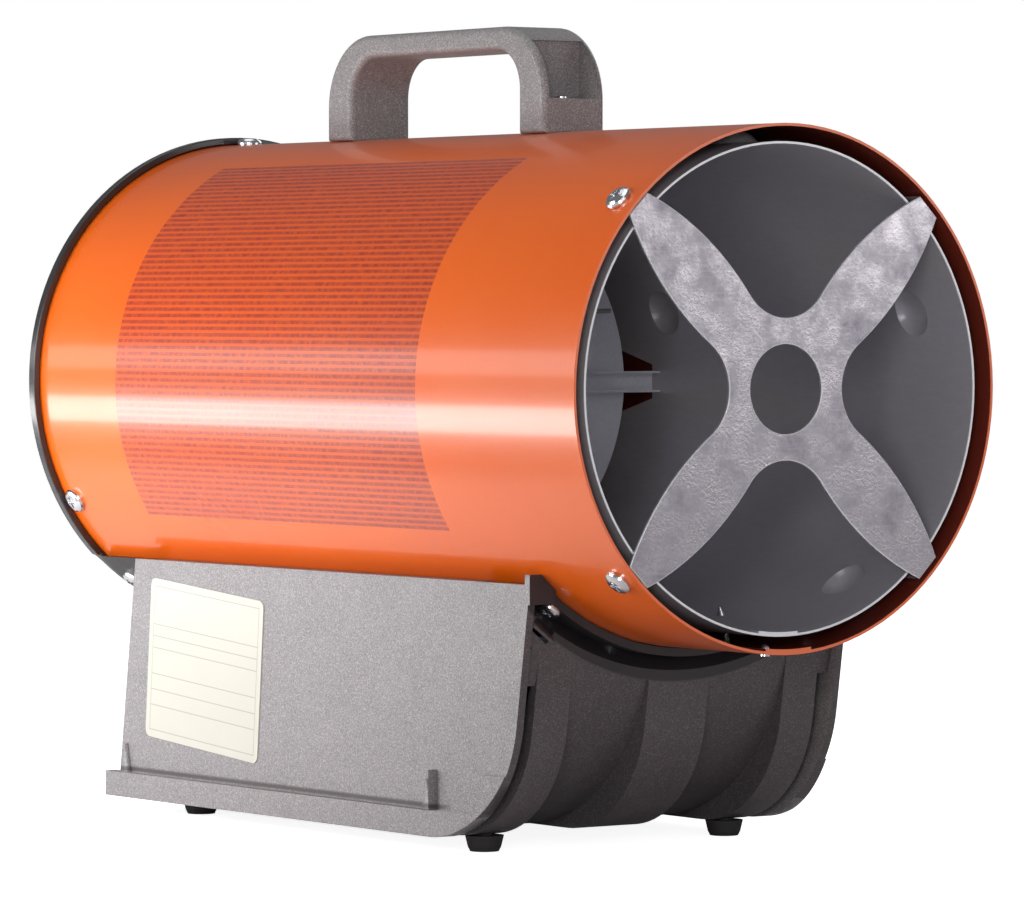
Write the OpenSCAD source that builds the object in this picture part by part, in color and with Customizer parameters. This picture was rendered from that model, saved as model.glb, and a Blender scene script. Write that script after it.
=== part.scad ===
// Portable gas heater with a fan: a painted drum on a moulded base.
// The outlet faces -Y, the fan end +Y, and the feet stand on z = 0.

/* [Drum] */
// Outer diameter of the drum
drum_d = 185; // [180:1:190]
// Length of the drum tube
drum_len = 352; // [350:1:358]
// Thickness of the drum's sheet
drum_t = 1; // [0.8:0.1:1.2]
// Height of the drum's axis above the ground
axis_h = 166; // [163:1:170]
// Width of the overlapped seam under the drum
drum_seam_w = 20; // [16:1:24]
// Width of the window in the drum's bottom, over the base
drum_window_w = 52; // [48:1:56]
// Length of that window along the drum
drum_window_len = 40; // [36:1:42]
// Distance from the window's front edge to the drum's rear end
drum_window_from_end = 120; // [118:1:122]

/* [Combustion liner] */
// Outer diameter of the liner
liner_d = 172.4; // [168:0.2:174]
// Thickness of the liner's sheet
liner_t = 0.8; // [0.6:0.1:1]
// Distance from the liner's rear end to the drum's rear end
liner_from_end = 123.3; // [119.3:1:127.3]
// How far the liner sits behind the drum's front rim
liner_setback = 2.7; // [2.6:0.1:3.5]
// Width of the overlapped seam in the liner
liner_seam_w = 17; // [14:1:20]
// Diameter of a pressed spacer dimple
spacer_d = 18; // [16:1:20]
// Distance from the rim to the front row of dimples
spacer_front_y = 32; // [28:1:36]
// Distance from the rear row of dimples to the drum's rear end
spacer_from_end = 172; // [171:1:176]
// Width of a side window at its front end
liner_window_front_w = 13; // [11:1:14]
// Width of a side window at its rear end
liner_window_rear_w = 24; // [20:1:26]
// Length of a side window
liner_window_len = 20; // [16:1:22]
// Distance from the rim to the two liner screws
liner_screw_y = 69; // [66:1:80]

/* [Outlet cross] */
// Sheet thickness of the cross
cross_t = 1; // [0.8:0.1:1.1]
// Distance from the rim to the cross's front face
cross_setback = 1.4; // [1.2:0.1:1.4]
// Radius of the long curve along each arm
arm_curve_r = 108; // [104:1:112]
// Width of an arm at its widest
arm_w = 26.4; // [25:0.2:28]
// Width of an arm at its tip
arm_tip_w = 10.6; // [10:0.2:12]
// Radius of the round between two arms
crotch_r = 19.5; // [18:0.5:21]
// Diameter of the hole in the cross's middle
cross_hole_d = 31.4; // [28:0.2:34]
// Length of the tab bent back at each tip
cross_tab_len = 16; // [15:1:20]
// Distance from the rim to the four front screws
front_screw_y = 10.8; // [10:0.2:11]

/* [Burner] */
// Diameter of the flame spreader disc
disc_d = 144; // [138:1:148]
// Distance from the disc's front face to the drum's rear end
disc_from_end = 158.6; // [157:0.2:160]
// Sheet thickness of the disc and the bar
disc_t = 0.8; // [0.6:0.1:1]
// Height of the channel bar across the disc
bar_h = 8; // [7:0.5:10]
// Depth of the channel bar
bar_depth = 5.8; // [5:0.2:7]
// Outer diameter of the burner cup
cup_d = 46; // [42:1:50]
// Length of the burner cup
cup_len = 22; // [20:1:24]
// Outer diameter of the gas pipe
pipe_d = 8; // [7:0.5:8]
// Bend radius of the gas pipe
pipe_bend_r = 12; // [11:1:12]
// Distance sideways from the axis to the electrode
electrode_x = 50; // [48:1:52]
// Height of the electrode above the axis
electrode_z = 27; // [24:1:30]
// Diameter of the electrode's ceramic
ceramic_d = 7; // [6:0.5:8]

/* [Fan and motor] */
// Diameter over the fan's blades
fan_d = 168; // [160:1:170]
// Width of a fan blade's sheet along its chord
blade_chord = 38; // [34:1:40]
// Angle of a blade against the fan's plane
blade_angle = 28; // [20:1:32]
// Thickness of a blade
blade_t = 1.5; // [1:0.1:2]
// Diameter of the fan's hub
fan_hub_d = 34; // [30:1:38]
// Distance from the fan hub's front face to the drum's rear end
fan_from_end = 88; // [87:0.5:88.5]
// Length of the fan's hub
fan_hub_len = 20; // [18:1:22]
// Diameter of the motor's can
motor_d = 62; // [58:1:66]
// Length of the motor's can
motor_len = 40; // [38:1:42]
// Diameter of the motor's shaft
shaft_d = 6; // [5:0.5:7]
// Thickness of the motor bracket's sheet
bracket_t = 1.5; // [1.2:0.1:2]
// Width of each arm of the motor bracket
bracket_arm_w = 16; // [14:1:20]

/* [Rear ring and guard] */
// How far the rear ring stands out over the drum
ring_over = 3; // [2.5:0.1:5.5]
// Length of the ring along the drum
ring_len = 4; // [3.5:0.5:6]
// Thickness of the ring's rear wall
ring_wall = 2.6; // [2:0.2:3]
// How far the ring's rear wall reaches in from the drum's outside
ring_in = 8.5; // [6.5:0.5:12]
// Wire diameter of the guard's rings and spokes
guard_wire_d = 2.2; // [2:0.1:2.4]
// Radial pitch of the guard's rings
guard_pitch = 12; // [10:1:14]

/* [Handle] */
// Width of the handle across the drum
handle_w = 28; // [24:1:32]
// Distance from the rim to the handle's front leg
handle_y = 126.5; // [110:0.5:135]
// Length of the handle along the drum
handle_len = 142.5; // [136:0.5:150]
// Height of the handle over the drum's top
handle_h = 39; // [36:1:44]
// Thickness of the handle's grip
grip_t = 8.5; // [8:0.5:10]
// Length of each leg's foot along the drum
handle_leg_len = 16.5; // [15:0.5:19]
// Radius of the handle's outer corners
handle_corner_r = 27; // [24:1:30]
// Radius of the opening's corners
handle_inner_r = 15; // [12:1:17]
// Depth of the recess in each leg's outer face
handle_recess_depth = 13; // [10:0.5:13]

/* [Base] */
// Overall width over the side covers, without their rails
base_w = 143; // [140:1:146]
// Height of the side covers
base_h = 92; // [90:1:94]
// Distance from the rim to the side covers' top front corner
base_y = 54.8; // [52:0.2:56]
// Distance from the side covers' top rear corner to the drum's rear end
base_from_end = 36.6; // [34.2:0.2:38]
// Angle by which the front wall leans back
front_lean = 8.9; // [7:0.1:10]
// Angle by which the covers' rear edge leans
rear_lean = 7.9; // [7:0.1:9]
// Radius of the large front lower corner
base_corner_r = 50; // [46:1:54]
// Radius of the valleys' front lower corner
valley_corner_r = 80; // [76:1:84]
// Thickness of the side covers
side_t = 3; // [2.5:0.1:3.2]
// Wall thickness of the base shell
shell_t = 2.5; // [2.2:0.1:2.8]
// How far the front wall sits behind the side covers' front edge
front_inset = 2.5; // [2:0.1:3]
// Width of the middle rib
rib_mid_w = 27; // [24:1:30]
// Width of each outer rib
rib_side_w = 15; // [13:1:17]
// Width of the groove between an outer rib and the side cover
groove_w = 5.5; // [5:0.1:6.5]
// Depth of that groove
groove_depth = 6; // [4:0.5:7]
// Height of the flush upper part of the front wall
front_flush_h = 36; // [34:1:40]
// Thickness of the two curved saddles under the drum
saddle_t = 3; // [2.6:0.1:3.2]
// Radius outside the drum of the scooped front edge
scoop_h = 12; // [10:0.5:13]
// Length of the scoop along the drum
scoop_len = 14; // [12:1:16]
// Height of the rail along the foot of each side cover
rail_h = 9.5; // [8:0.5:11]
// How far that rail stands out
rail_out = 3.5; // [3:0.5:5]
// Height of a gusset over the rail
gusset_h = 11; // [9:1:13]
// Distance from the rear panel's outer face to the drum's rear end
panel_from_end = 40; // [39:0.5:41]

/* [Feet] */
// Height of the rubber feet under the base
foot_h = 5.7; // [5:0.1:6.5]
// Diameter of a foot
foot_d = 14; // [12:1:19]
// Distance from the rim to the front feet
foot_front_y = 107; // [104:1:112]
// Distance from the rear feet to the drum's rear end
foot_from_end = 56; // [54:1:66]
// Distance from the outer face of a side cover to the feet's middle
foot_in = 17.5; // [15.5:0.5:19.5]

/* [Controls] */
// Diameter of the gas push button
gas_button_d = 15; // [13:1:16]
// Travel of the gas push button
gas_button_travel = 5; // [3:0.5:5]
// Diameter of the piezo button
piezo_button_d = 13; // [11:1:15]
// Travel of the piezo button
piezo_button_travel = 6; // [4:0.5:6]
// Diameter of the heat output knob
knob_d = 24; // [20:1:25]
// Length of the heat output knob
knob_len = 14; // [12:1:16]
// Distance from the outer face of a side cover to the outer controls
control_in = 33.5; // [31.5:0.5:35.5]
// Height of the upper row of controls above the ground
upper_row_z = 48; // [47:0.5:49]
// Height of the lower row of controls above the ground
lower_row_z = 24; // [23:0.5:25]
// Height of the rocker switch's frame
switch_h = 22; // [20:1:23]
// Width of the rocker switch's frame
switch_w = 15; // [14:1:18]
// Outer diameter of the gas inlet's nipple
inlet_d = 13.2; // [12:0.1:14]
// Bore of the cable gland
gland_bore_d = 8; // [6:0.5:9]

/* [Rating plate] */
// Length of the plate along the drum
plate_len = 79; // [70:1:86]
// Height of the plate
plate_h = 61; // [52:1:64]
// Distance from the plate's middle to the drum's rear end
plate_from_end = 86; // [84:1:97]
// Height of the plate's middle above the ground
plate_z = 57.5; // [56:0.5:60]
// Angle by which the plate is turned
plate_angle = 4.5; // [0:0.5:6]

/* [Hidden] */
$fn = 64;

// Clearances and the overrun of every cut
seat_gap = 0.3;
run_gap = 0.05;
hole_gap = 0.2;
overrun = 1;

// Screws of the sheet metal parts
screw_head_d = 9.8;
screw_head_h = 2.6;
screw_d = 3.9;
screw_slot_w = 1.1;
screw_slot_depth = 1.2;
small_screw_head_d = 7;
small_screw_d = 3.2;

// Drum and liner
drum_r = drum_d / 2;
drum_in_r = drum_r - drum_t;
drum_window_y = drum_len - drum_window_from_end;
rear_inner_gap = 0.4;
total_len = drum_len + rear_inner_gap + ring_wall;
front_y = -total_len / 2;
liner_r = liner_d / 2;
liner_in_r = liner_r - liner_t;
liner_rear_y = drum_len - liner_from_end;
liner_len = liner_rear_y - liner_setback;
spacer_rear_y = drum_len - spacer_from_end;
dimple_rise = drum_in_r - seat_gap - liner_r;
dimple_curve_r = (dimple_rise * dimple_rise + spacer_d * spacer_d / 4) / (2 * dimple_rise);
dimple_angles = [18, 90, 162, 234, 306];
rivet_head_d = 3.4;
rivet_head_h = 1.4;
rivet_flat_h = 0.7;
rivet_d = 2.4;
rivet_x = 6.5;
rivet_end_y = 5;
rivet_pitch = 100;
rivet_count = 3;
liner_screw_angles = [-74, -106];
liner_screw_tip = 3;
front_screw_angles = [45, 135, 225, 315];
rear_screw_angles = [90, 210, 330];
rear_screw_from_end = 7;
rear_screw_y = drum_len - rear_screw_from_end;
saddle_screw_in = 16.5;
saddle_screw_angle = acos((base_w / 2 - saddle_screw_in) / drum_r);
saddle_screw_angles = [-saddle_screw_angle, saddle_screw_angle - 180];

// Outlet cross
tip_r = drum_in_r - screw_slot_w;
arm_off = arm_curve_r - arm_w / 2;
arm_along = tip_r - sqrt(arm_curve_r * arm_curve_r - pow(arm_off + arm_tip_w / 2, 2));
diag = sqrt(1 / 2);
curve_cx = (arm_along + arm_off) * diag;
curve_cz = (arm_along - arm_off) * diag;
crotch_z = curve_cz + sqrt(pow(arm_curve_r + crotch_r, 2) - curve_cx * curve_cx);
blend_share = crotch_r / (arm_curve_r + crotch_r);
blend_x = curve_cx * blend_share;
blend_z = crotch_z + (curve_cz - crotch_z) * blend_share;
cross_hub_r = sqrt(blend_x * blend_x + blend_z * blend_z);

// Burner
disc_y = drum_len - disc_from_end;
electrode_tip_len = 8;
electrode_reach = 8;
electrode_d = 1.8;
ceramic_len = 24;
ceramic_front = 6;
collar_d = 12;
collar_len = 3;
probe_d = 4;
probe_front = 12;
probe_len = 26;
cup_gap = 6;
cup_t = 1;
cup_leg_w = 6;
cup_hole_d = 11;
injector_hex_d = 12;
injector_hex_len = 6;
injector_d = 10;
injector_bore_d = 1.2;
pipe_bore_share = 0.7;
pipe_from_end = 103;
pipe_over_row = 14;
valve_from_end = 78;
pipe_rise_y = drum_len - pipe_from_end;
pipe_low_z = lower_row_z + pipe_over_row;
valve_front_y = drum_len - valve_from_end;
nut_d = 15;
nut_len = 8;
lead_d = 4;
lead_bend_r = 7;
capillary_d = 2.4;
motor_lead_d = 5;
thermostat_d = 18;
thermostat_h = 7;
thermostat_y = 150;
tag_w = 5;
tag_t = 0.8;
tag_len = 8;

// Fan and motor
fan_y = drum_len - fan_from_end;
fan_motor_gap = 8;
shaft_r = shaft_d / 2;
fan_r = fan_d / 2;
fan_hub_r = fan_hub_d / 2;
blade_count = 5;
blade_root_share = 0.62;
fan_nut_len = 5;
fan_nut_d = 11.5;
motor_y = fan_y + fan_hub_len + fan_motor_gap;
motor_r = motor_d / 2;
can_t = 1.5;
boss_d = 17;
boss_len = 4;
bearing_d = 13;
bearing_len = 5;
cap_t = 2.5;
rotor_d = 34;
rotor_air_gap = 0.6;
stack_len = 24;
motor_rear_y = motor_y + motor_len;
bracket_y = motor_rear_y + cap_t + seat_gap;
bracket_hub_d = 54;
bracket_hole_d = 20;
motor_screw_pcd = 44;
motor_screw_angles = [30, 150, 270];
tab_gap = 0.5;

// Rear ring and guard
ring_d = drum_d + 2 * ring_over;
ring_r = ring_d / 2;
ring_bore_d = drum_d - 2 * ring_in;
ring_y = drum_len + rear_inner_gap + ring_wall - ring_len;
guard_r = drum_in_r - drum_t - seat_gap - guard_wire_d / 2;
guard_y = drum_len + rear_inner_gap - seat_gap - guard_wire_d;
guard_spoke_step = guard_wire_d * 0.7;
guard_inner_r = 14;
guard_spokes = 6;
ring_step = 1;

// Handle
handle_clear = 0.1;
handle_recess_wall = 2.6;
handle_screw_d = 4.8;
handle_boss_depth = 14;
handle_head_d = 9;
handle_head_h = 2.8;
handle_saddle = drum_r - sqrt(drum_r * drum_r - handle_w * handle_w / 4);

// Base
side_x = base_w / 2;
inner_x = side_x - side_t - seat_gap;
base_bottom_z = foot_h;
base_rear_y = drum_len - base_from_end;
rear_panel_y = drum_len - panel_from_end;
foot_rear_y = drum_len - foot_from_end;
foot_spacing = base_w - 2 * foot_in;
base_top_z = foot_h + base_h;
saddle_r = drum_r + seat_gap;
saddle_front_len = 22;
saddle_from_end = 46;
saddle_rear_y = drum_len - saddle_from_end;
saddle_ring_gap = 2;
saddle_rear_end = ring_y - saddle_ring_gap;
saddle_screw_back = 8;
saddle_screw_from_end = 9;
saddle_screw_front_y = base_y + saddle_screw_back;
saddle_screw_rear_y = saddle_rear_end - saddle_screw_from_end;
side_lip_w = 12;
side_lip_t = 3;
tab_w = 11;
tab_h = 3.5;
tab_drop = 7;
tab_t = 3;
gusset_w = 5.4;
gusset_front_y = 116;
gusset_from_end = 31;
gusset_ys = [gusset_front_y, drum_len - gusset_from_end];
rail_fade_len = 38;
rail_start = 10;
rail_rise = 24;
rail_from_end = 20;
rail_front_y = base_y + rail_fade_len;
rail_rear_y = drum_len - rail_from_end;
base_screw_front_y = 150;
base_screw_from_end = 67;
base_screw_rear_y = drum_len - base_screw_from_end;
base_screw_ys = [base_screw_front_y, (base_screw_front_y + base_screw_rear_y) / 2, base_screw_rear_y];
rear_screw_x = 25;
flange_t = 3;
flange_w = 12;
base_screw_x = inner_x - flange_w / 2;
panel_t = 2.5;
foot_stem_d = 6;
foot_barb_d = 8.4;
foot_taper = 1;
foot_round = 1.6;
flat_head_h = 1.9;

// Controls
control_x = base_w / 2 - control_in;
button_len = 8.5;
button_gap = 0.5;
stem_d = 8;
stem_run = 0.05;
valve_w = 26;
valve_h = 43;
valve_z = 13.5;
valve_bore_depth = 22;
spring_gap = 1.5;
spring_wire_d = 0.8;
spring_turns = 4;
spring_rings = 12;
spring_sides = 6;
spindle_d = 7;
knob_grip_w = 6;
knob_grip_h = 4;
knob_flutes = 12;
flute_d = 2.4;
inlet_out = 18;
inlet_bore_d = 7;
bulkhead_d = inlet_d + 2;
locknut_len = 4;
locknut_d = 20;
piezo_d = 17;
piezo_len = 36;
piezo_bore_depth = 24;
switch_flange = 1.8;
switch_wall = 2;
switch_depth = 20;
rocker_tilt = 8;
rocker_gap = 0.7;
rocker_rise = 3.2;
rocker_back = 4;
rocker_pin_d = 1.6;
gland_d = 17;
gland_out = 16;
gland_hex_d = 20;
gland_hex_len = 6;
block_len = 34;
block_w = 16;
block_h = 14;
block_from_end = 102;
block_y = drum_len - block_from_end;
plate_t = 0.4;
plate_y = drum_len - plate_from_end;
plate_corner_r = 3;

// Places a child at a distance behind the drum's front rim, on the drum's axis
module on_axis(d = 0) {
  translate([0, front_y + d, axis_h]) children();
}

// Turns a child built along +Z to lie along +Y
module lay_back() {
  rotate([-90, 0, 0]) children();
}

// Turns a child built along +X to point out radially at an angle round the drum
module radial(angle, d) {
  on_axis(d) rotate([0, -angle, 0]) children();
}

// Ring or tube along the drum's axis
module axis_tube(r_out, r_in, len, d) {
  on_axis(d) lay_back() difference() {
    cylinder(h = len, r = r_out);
    translate([0, 0, -overrun]) cylinder(h = len + 2 * overrun, r = r_in);
  }
}

// Solid disc or rod along the drum's axis
module axis_rod(r, len, d) {
  on_axis(d) lay_back() cylinder(h = len, r = r);
}

// Radial hole at an angle round the drum, from r_from to r_to
module radial_hole(angle, d, hole_d, r_from, r_to) {
  radial(angle, d) translate([r_from, 0, 0]) rotate([0, 90, 0]) cylinder(h = r_to - r_from, d = hole_d);
}

// Cross recess cut from the top of a screw head that starts at x = 0
module cross_recess(head_d, depth, top) {
  for (turn = [0, 90])
    rotate([turn, 0, 0]) translate([top - depth, -head_d / 4, -screw_slot_w / 2])
      cube([depth + overrun, head_d / 2, screw_slot_w]);
}

// Screw along X: domed head from x = 0 outwards, shank inwards
module dome_screw(head_d, head_h, shank_d, shank_len) {
  r = head_d / 2;
  difference() {
    union() {
      rotate([0, 90, 0]) rotate_extrude()
        polygon([[0, 0], [r, 0], [r, head_h * 0.3], [r * 0.93, head_h * 0.58], [r * 0.75, head_h * 0.83],
          [r * 0.45, head_h * 0.97], [0, head_h]]);
      translate([-shank_len, 0, 0]) rotate([0, 90, 0]) cylinder(h = shank_len + head_h / 2, d = shank_d);
    }
    cross_recess(head_d, screw_slot_depth, head_h);
  }
}

// Flat-topped screw along X, with a straight head
module pan_screw(head_d, head_h, shank_d, shank_len) {
  difference() {
    union() {
      rotate([0, 90, 0]) cylinder(h = head_h, d = head_d);
      translate([-shank_len, 0, 0]) rotate([0, 90, 0]) cylinder(h = shank_len + head_h / 2, d = shank_d);
    }
    cross_recess(head_d, screw_slot_depth, head_h);
  }
}

// Countersunk screw along X: flat head from x = 0 inwards, shank further in
module flat_screw(head_d, head_h, shank_d, shank_len) {
  difference() {
    union() {
      translate([-head_h, 0, 0]) rotate([0, 90, 0]) cylinder(h = head_h, d1 = shank_d, d2 = head_d);
      translate([-shank_len, 0, 0]) rotate([0, 90, 0]) cylinder(h = shank_len - head_h / 2, d = shank_d);
    }
    cross_recess(head_d, screw_slot_depth, 0);
  }
}

// Unit vector, and the angle between two directions
function unit(v) = v / norm(v);
function turn_between(a, b) = acos(max(-1, min(1, unit(a) * unit(b))));

// Turns a child built along +Z to point along a direction
module aim(dir) {
  side = cross([0, 0, 1], unit(dir));
  if (norm(side) > 0) rotate(a = turn_between([0, 0, 1], dir), v = side) children();
  else rotate([dir[2] < 0 ? 180 : 0, 0, 0]) children();
}

// Round bar or tube through a list of points, with a round bend at each inner one
module bent_rod(points, d, bend_r) {
  last = len(points) - 1;
  // length taken off each end of a straight run by the bend there
  cuts = [for (i = [0:last]) i == 0 || i == last ? 0
    : bend_r * tan(turn_between(points[i] - points[i - 1], points[i + 1] - points[i]) / 2)];
  for (i = [0:last - 1]) {
    run = points[i + 1] - points[i];
    translate(points[i] + unit(run) * cuts[i]) aim(run)
      cylinder(h = norm(run) - cuts[i] - cuts[i + 1], d = d);
  }
  for (i = [1:last - 1]) {
    way_in = unit(points[i] - points[i - 1]);
    way_out = unit(points[i + 1] - points[i]);
    bend = turn_between(way_in, way_out);
    axis = unit(cross(way_in, way_out));
    inward = cross(axis, way_in);
    centre = points[i] - way_in * cuts[i] + inward * bend_r;
    flat_x = norm(cross([0, 0, 1], axis)) > 0 ? unit(cross([0, 0, 1], axis)) : [1, 0, 0];
    flat_y = cross(axis, flat_x);
    start = atan2(-inward * flat_y, -inward * flat_x);
    tilt = turn_between([0, 0, 1], axis);
    translate(centre) rotate(a = tilt, v = flat_x) rotate([0, 0, start + atan2(flat_x[1], flat_x[0])])
      rotate_extrude(angle = bend) translate([bend_r, 0]) circle(d = d);
  }
}

// Rolled sheet drum with its riveted seam underneath
module drum_shell() {
  color([0.9, 0.33, 0.1]) difference() {
    union() {
      axis_tube(drum_r, drum_in_r, drum_len, 0);
      intersection() {
        axis_tube(drum_in_r + drum_t / 2, drum_in_r - drum_t, drum_len, 0);
        on_axis() translate([-drum_seam_w / 2, 0, -drum_r]) cube([drum_seam_w, drum_len, drum_r / 2]);
      }
    }
    for (angle = front_screw_angles)
      radial_hole(angle, front_screw_y, screw_d + hole_gap, drum_r / 2, drum_r + overrun);
    for (angle = rear_screw_angles)
      radial_hole(angle, rear_screw_y, screw_d + hole_gap, drum_r / 2, drum_r + overrun);
    for (angle = saddle_screw_angles, d = [saddle_screw_front_y, saddle_screw_rear_y])
      radial_hole(angle, d, screw_d + hole_gap, drum_r / 2, drum_r + overrun);
    for (angle = liner_screw_angles)
      radial_hole(angle, liner_screw_y, small_screw_d + hole_gap, drum_r / 2, drum_r + overrun);
    for (d = handle_screw_ys())
      radial_hole(90, d, handle_screw_d + hole_gap, drum_r / 2, drum_r + overrun);
    for (i = [0:rivet_count - 1])
      rivet_place(i) translate([-drum_r / 2, 0, 0]) rotate([0, 90, 0])
        cylinder(h = drum_r, d = rivet_d + hole_gap);
    on_axis(drum_window_y) translate([-drum_window_w / 2, 0, -drum_r - overrun])
      cube([drum_window_w, drum_window_len, drum_r / 2]);
    motor_lead_hole();
  }
}

// Distances of the handle screws
function handle_screw_ys() =
  [handle_y + handle_leg_len / 2, handle_y + handle_len - handle_leg_len / 2];

// A seam rivet's place: x = 0 on the drum's outside, +X outwards
module rivet_place(i) {
  angle = -90 - asin(rivet_x / drum_r);
  radial(angle, rivet_end_y + i * rivet_pitch) translate([drum_r, 0, 0]) children();
}

// Hole in the drum's bottom for the motor lead
module motor_lead_hole() {
  translate([motor_lead_x(), front_y + motor_lead_y(), axis_h - drum_r - overrun])
    cylinder(h = drum_r / 2, d = motor_lead_d + 4 * lead_grommet_t);
}
lead_grommet_t = 1.6;
function motor_lead_x() = -motor_r + motor_lead_d;
function motor_lead_y() = motor_y + motor_lead_d + can_t;

// Rivets of the drum's seam
module drum_rivets() {
  color([0.8, 0.8, 0.82]) for (i = [0:rivet_count - 1])
    rivet_place(i) {
      cap_r = (rivet_head_h * rivet_head_h + rivet_head_d * rivet_head_d / 4) / (2 * rivet_head_h);
      intersection() {
        translate([-2 * drum_t - rivet_head_h + cap_r - run_gap, 0, 0]) sphere(r = cap_r);
        translate([-2 * drum_t - rivet_head_h - run_gap, 0, 0]) rotate([0, 90, 0])
          cylinder(h = rivet_head_h, d = rivet_head_d);
      }
      translate([-2 * drum_t - rivet_head_h / 2, 0, 0]) rotate([0, 90, 0])
        cylinder(h = 2 * drum_t + rivet_head_h / 2 + rivet_flat_h / 2, d = rivet_d);
      rotate([0, 90, 0]) cylinder(h = rivet_flat_h, d = rivet_head_d);
    }
}

// Centres of the dimples' balls, from the drum's axis
module dimple_balls(ball_r) {
  for (d = [spacer_front_y, spacer_rear_y], angle = dimple_angles)
    radial(angle, d) translate([liner_r + dimple_rise - dimple_curve_r, 0, 0]) sphere(r = ball_r);
}

// Trapezoid window in the liner's wall, on both sides
module liner_window() {
  on_axis(disc_y - disc_t / 2) for (side = [0, 1]) mirror([side, 0, 0])
    translate([liner_in_r - liner_t * 4, 0, 0]) rotate([0, 90, 0])
      linear_extrude(liner_t * 8)
        polygon([[-liner_window_front_w / 2, 0], [liner_window_front_w / 2, 0],
          [liner_window_rear_w / 2, liner_window_len], [-liner_window_rear_w / 2, liner_window_len]]);
}

// Tube round the flame, spaced by dimples
module combustion_liner() {
  color([0.32, 0.31, 0.34]) difference() {
    union() {
      axis_tube(liner_r, liner_in_r, liner_len, liner_setback);
      difference() {
        dimple_balls(dimple_curve_r);
        axis_rod(liner_r - liner_t / 2, liner_len, liner_setback);
      }
      intersection() {
        axis_tube(liner_in_r + liner_t / 2, liner_in_r - liner_t, liner_len, liner_setback);
        on_axis(liner_setback) translate([-liner_seam_w * liner_seam_share, 0, -liner_r])
          cube([liner_seam_w, liner_len, liner_r / 2]);
      }
    }
    dimple_balls(dimple_curve_r - liner_t);
    liner_window();
    for (angle = liner_screw_angles)
      radial_hole(angle, liner_screw_y, small_screw_d + hole_gap, liner_r / 2, liner_r + overrun);
  }
}
liner_seam_share = 0.64;

// Screws from the base through drum and liner
module liner_screws() {
  color([0.8, 0.8, 0.82]) for (angle = liner_screw_angles)
    radial(angle, liner_screw_y) translate([drum_r + run_gap, 0, 0]) {
      pan_screw(small_screw_head_d, screw_head_h, small_screw_d, drum_r - liner_in_r);
      translate([-(drum_r - liner_in_r), 0, 0]) rotate([0, -90, 0])
        cylinder(h = liner_screw_tip, r1 = small_screw_d / 2, r2 = small_screw_d / 8);
    }
}

// Four leaf-shaped arms round a hub, with a tab bent back at each tip
module outlet_cross() {
  color([0.62, 0.6, 0.6]) difference() {
    union() {
      for (angle = front_screw_angles) radial(angle, cross_setback) {
        intersection() {
          translate([arm_along, 0, arm_off]) lay_back() cylinder(h = cross_t, r = arm_curve_r);
          translate([arm_along, 0, -arm_off]) lay_back() cylinder(h = cross_t, r = arm_curve_r);
          translate([0, 0, -arm_w]) cube([tip_r, cross_t, 2 * arm_w]);
        }
        translate([tip_r - cross_t, 0, -arm_tip_w / 2]) cube([cross_t, cross_tab_len, arm_tip_w]);
      }
      axis_rod(cross_hub_r, cross_t, cross_setback);
    }
    for (angle = front_screw_angles) {
      radial(angle + 45, cross_setback - overrun) translate([crotch_z, 0, 0])
        lay_back() cylinder(h = cross_t + 2 * overrun, r = crotch_r);
      radial_hole(angle, front_screw_y, screw_d + hole_gap, tip_r - 2 * cross_t, drum_r);
    }
    axis_rod(cross_hole_d / 2, cross_t + 2 * overrun, cross_setback - overrun);
  }
}

// Screws through the drum into the cross's tabs
module front_screws() {
  color([0.82, 0.82, 0.84]) for (angle = front_screw_angles)
    radial(angle, front_screw_y) translate([drum_r + run_gap, 0, 0])
      dome_screw(screw_head_d, screw_head_h, screw_d, drum_r - liner_r - seat_gap);
}

// Round flame spreader behind the bar
module burner_disc() {
  color([0.55, 0.54, 0.56]) difference() {
    axis_rod(disc_d / 2, disc_t, disc_y);
    on_axis(disc_y - overrun) lay_back() {
      translate([electrode_x, -electrode_z, 0]) cylinder(h = disc_t + 2 * overrun, d = ceramic_d + 2 * hole_gap);
      translate([-electrode_x, -electrode_z, 0]) cylinder(h = disc_t + 2 * overrun, d = probe_d + 2 * hole_gap);
    }
  }
}

// Channel across the liner in front of the disc
module flame_bar() {
  bar_half = sqrt(pow(liner_in_r - seat_gap, 2) - bar_h * bar_h / 4);
  color([0.55, 0.54, 0.56]) on_axis(disc_y - bar_depth) translate([-bar_half, 0, -bar_h / 2]) {
    translate([0, bar_depth - disc_t, 0]) cube([2 * bar_half, disc_t, bar_h]);
    cube([2 * bar_half, bar_depth, disc_t]);
    translate([0, 0, bar_h - disc_t]) cube([2 * bar_half, bar_depth, disc_t]);
  }
}

// Cup that mixes gas and air, held to the disc by three legs
module burner_cup() {
  cup_y = disc_y + disc_t + cup_gap;
  color([0.5, 0.5, 0.52]) difference() {
    union() {
      axis_tube(cup_d / 2, cup_d / 2 - cup_t, cup_len, cup_y);
      axis_tube(cup_d / 2, cup_hole_d / 2, cup_t, cup_y + cup_len - cup_t);
      for (angle = rear_screw_angles)
        radial(angle, disc_y + disc_t) translate([cup_d / 2 - cup_t, 0, -cup_leg_w / 2])
          cube([cup_t, cup_gap + cup_t, cup_leg_w]);
    }
    for (angle = [0:30:330])
      radial_hole(angle, cup_y + cup_len / 2, cup_leg_w / 2, cup_d / 4, cup_d);
  }
}

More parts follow.
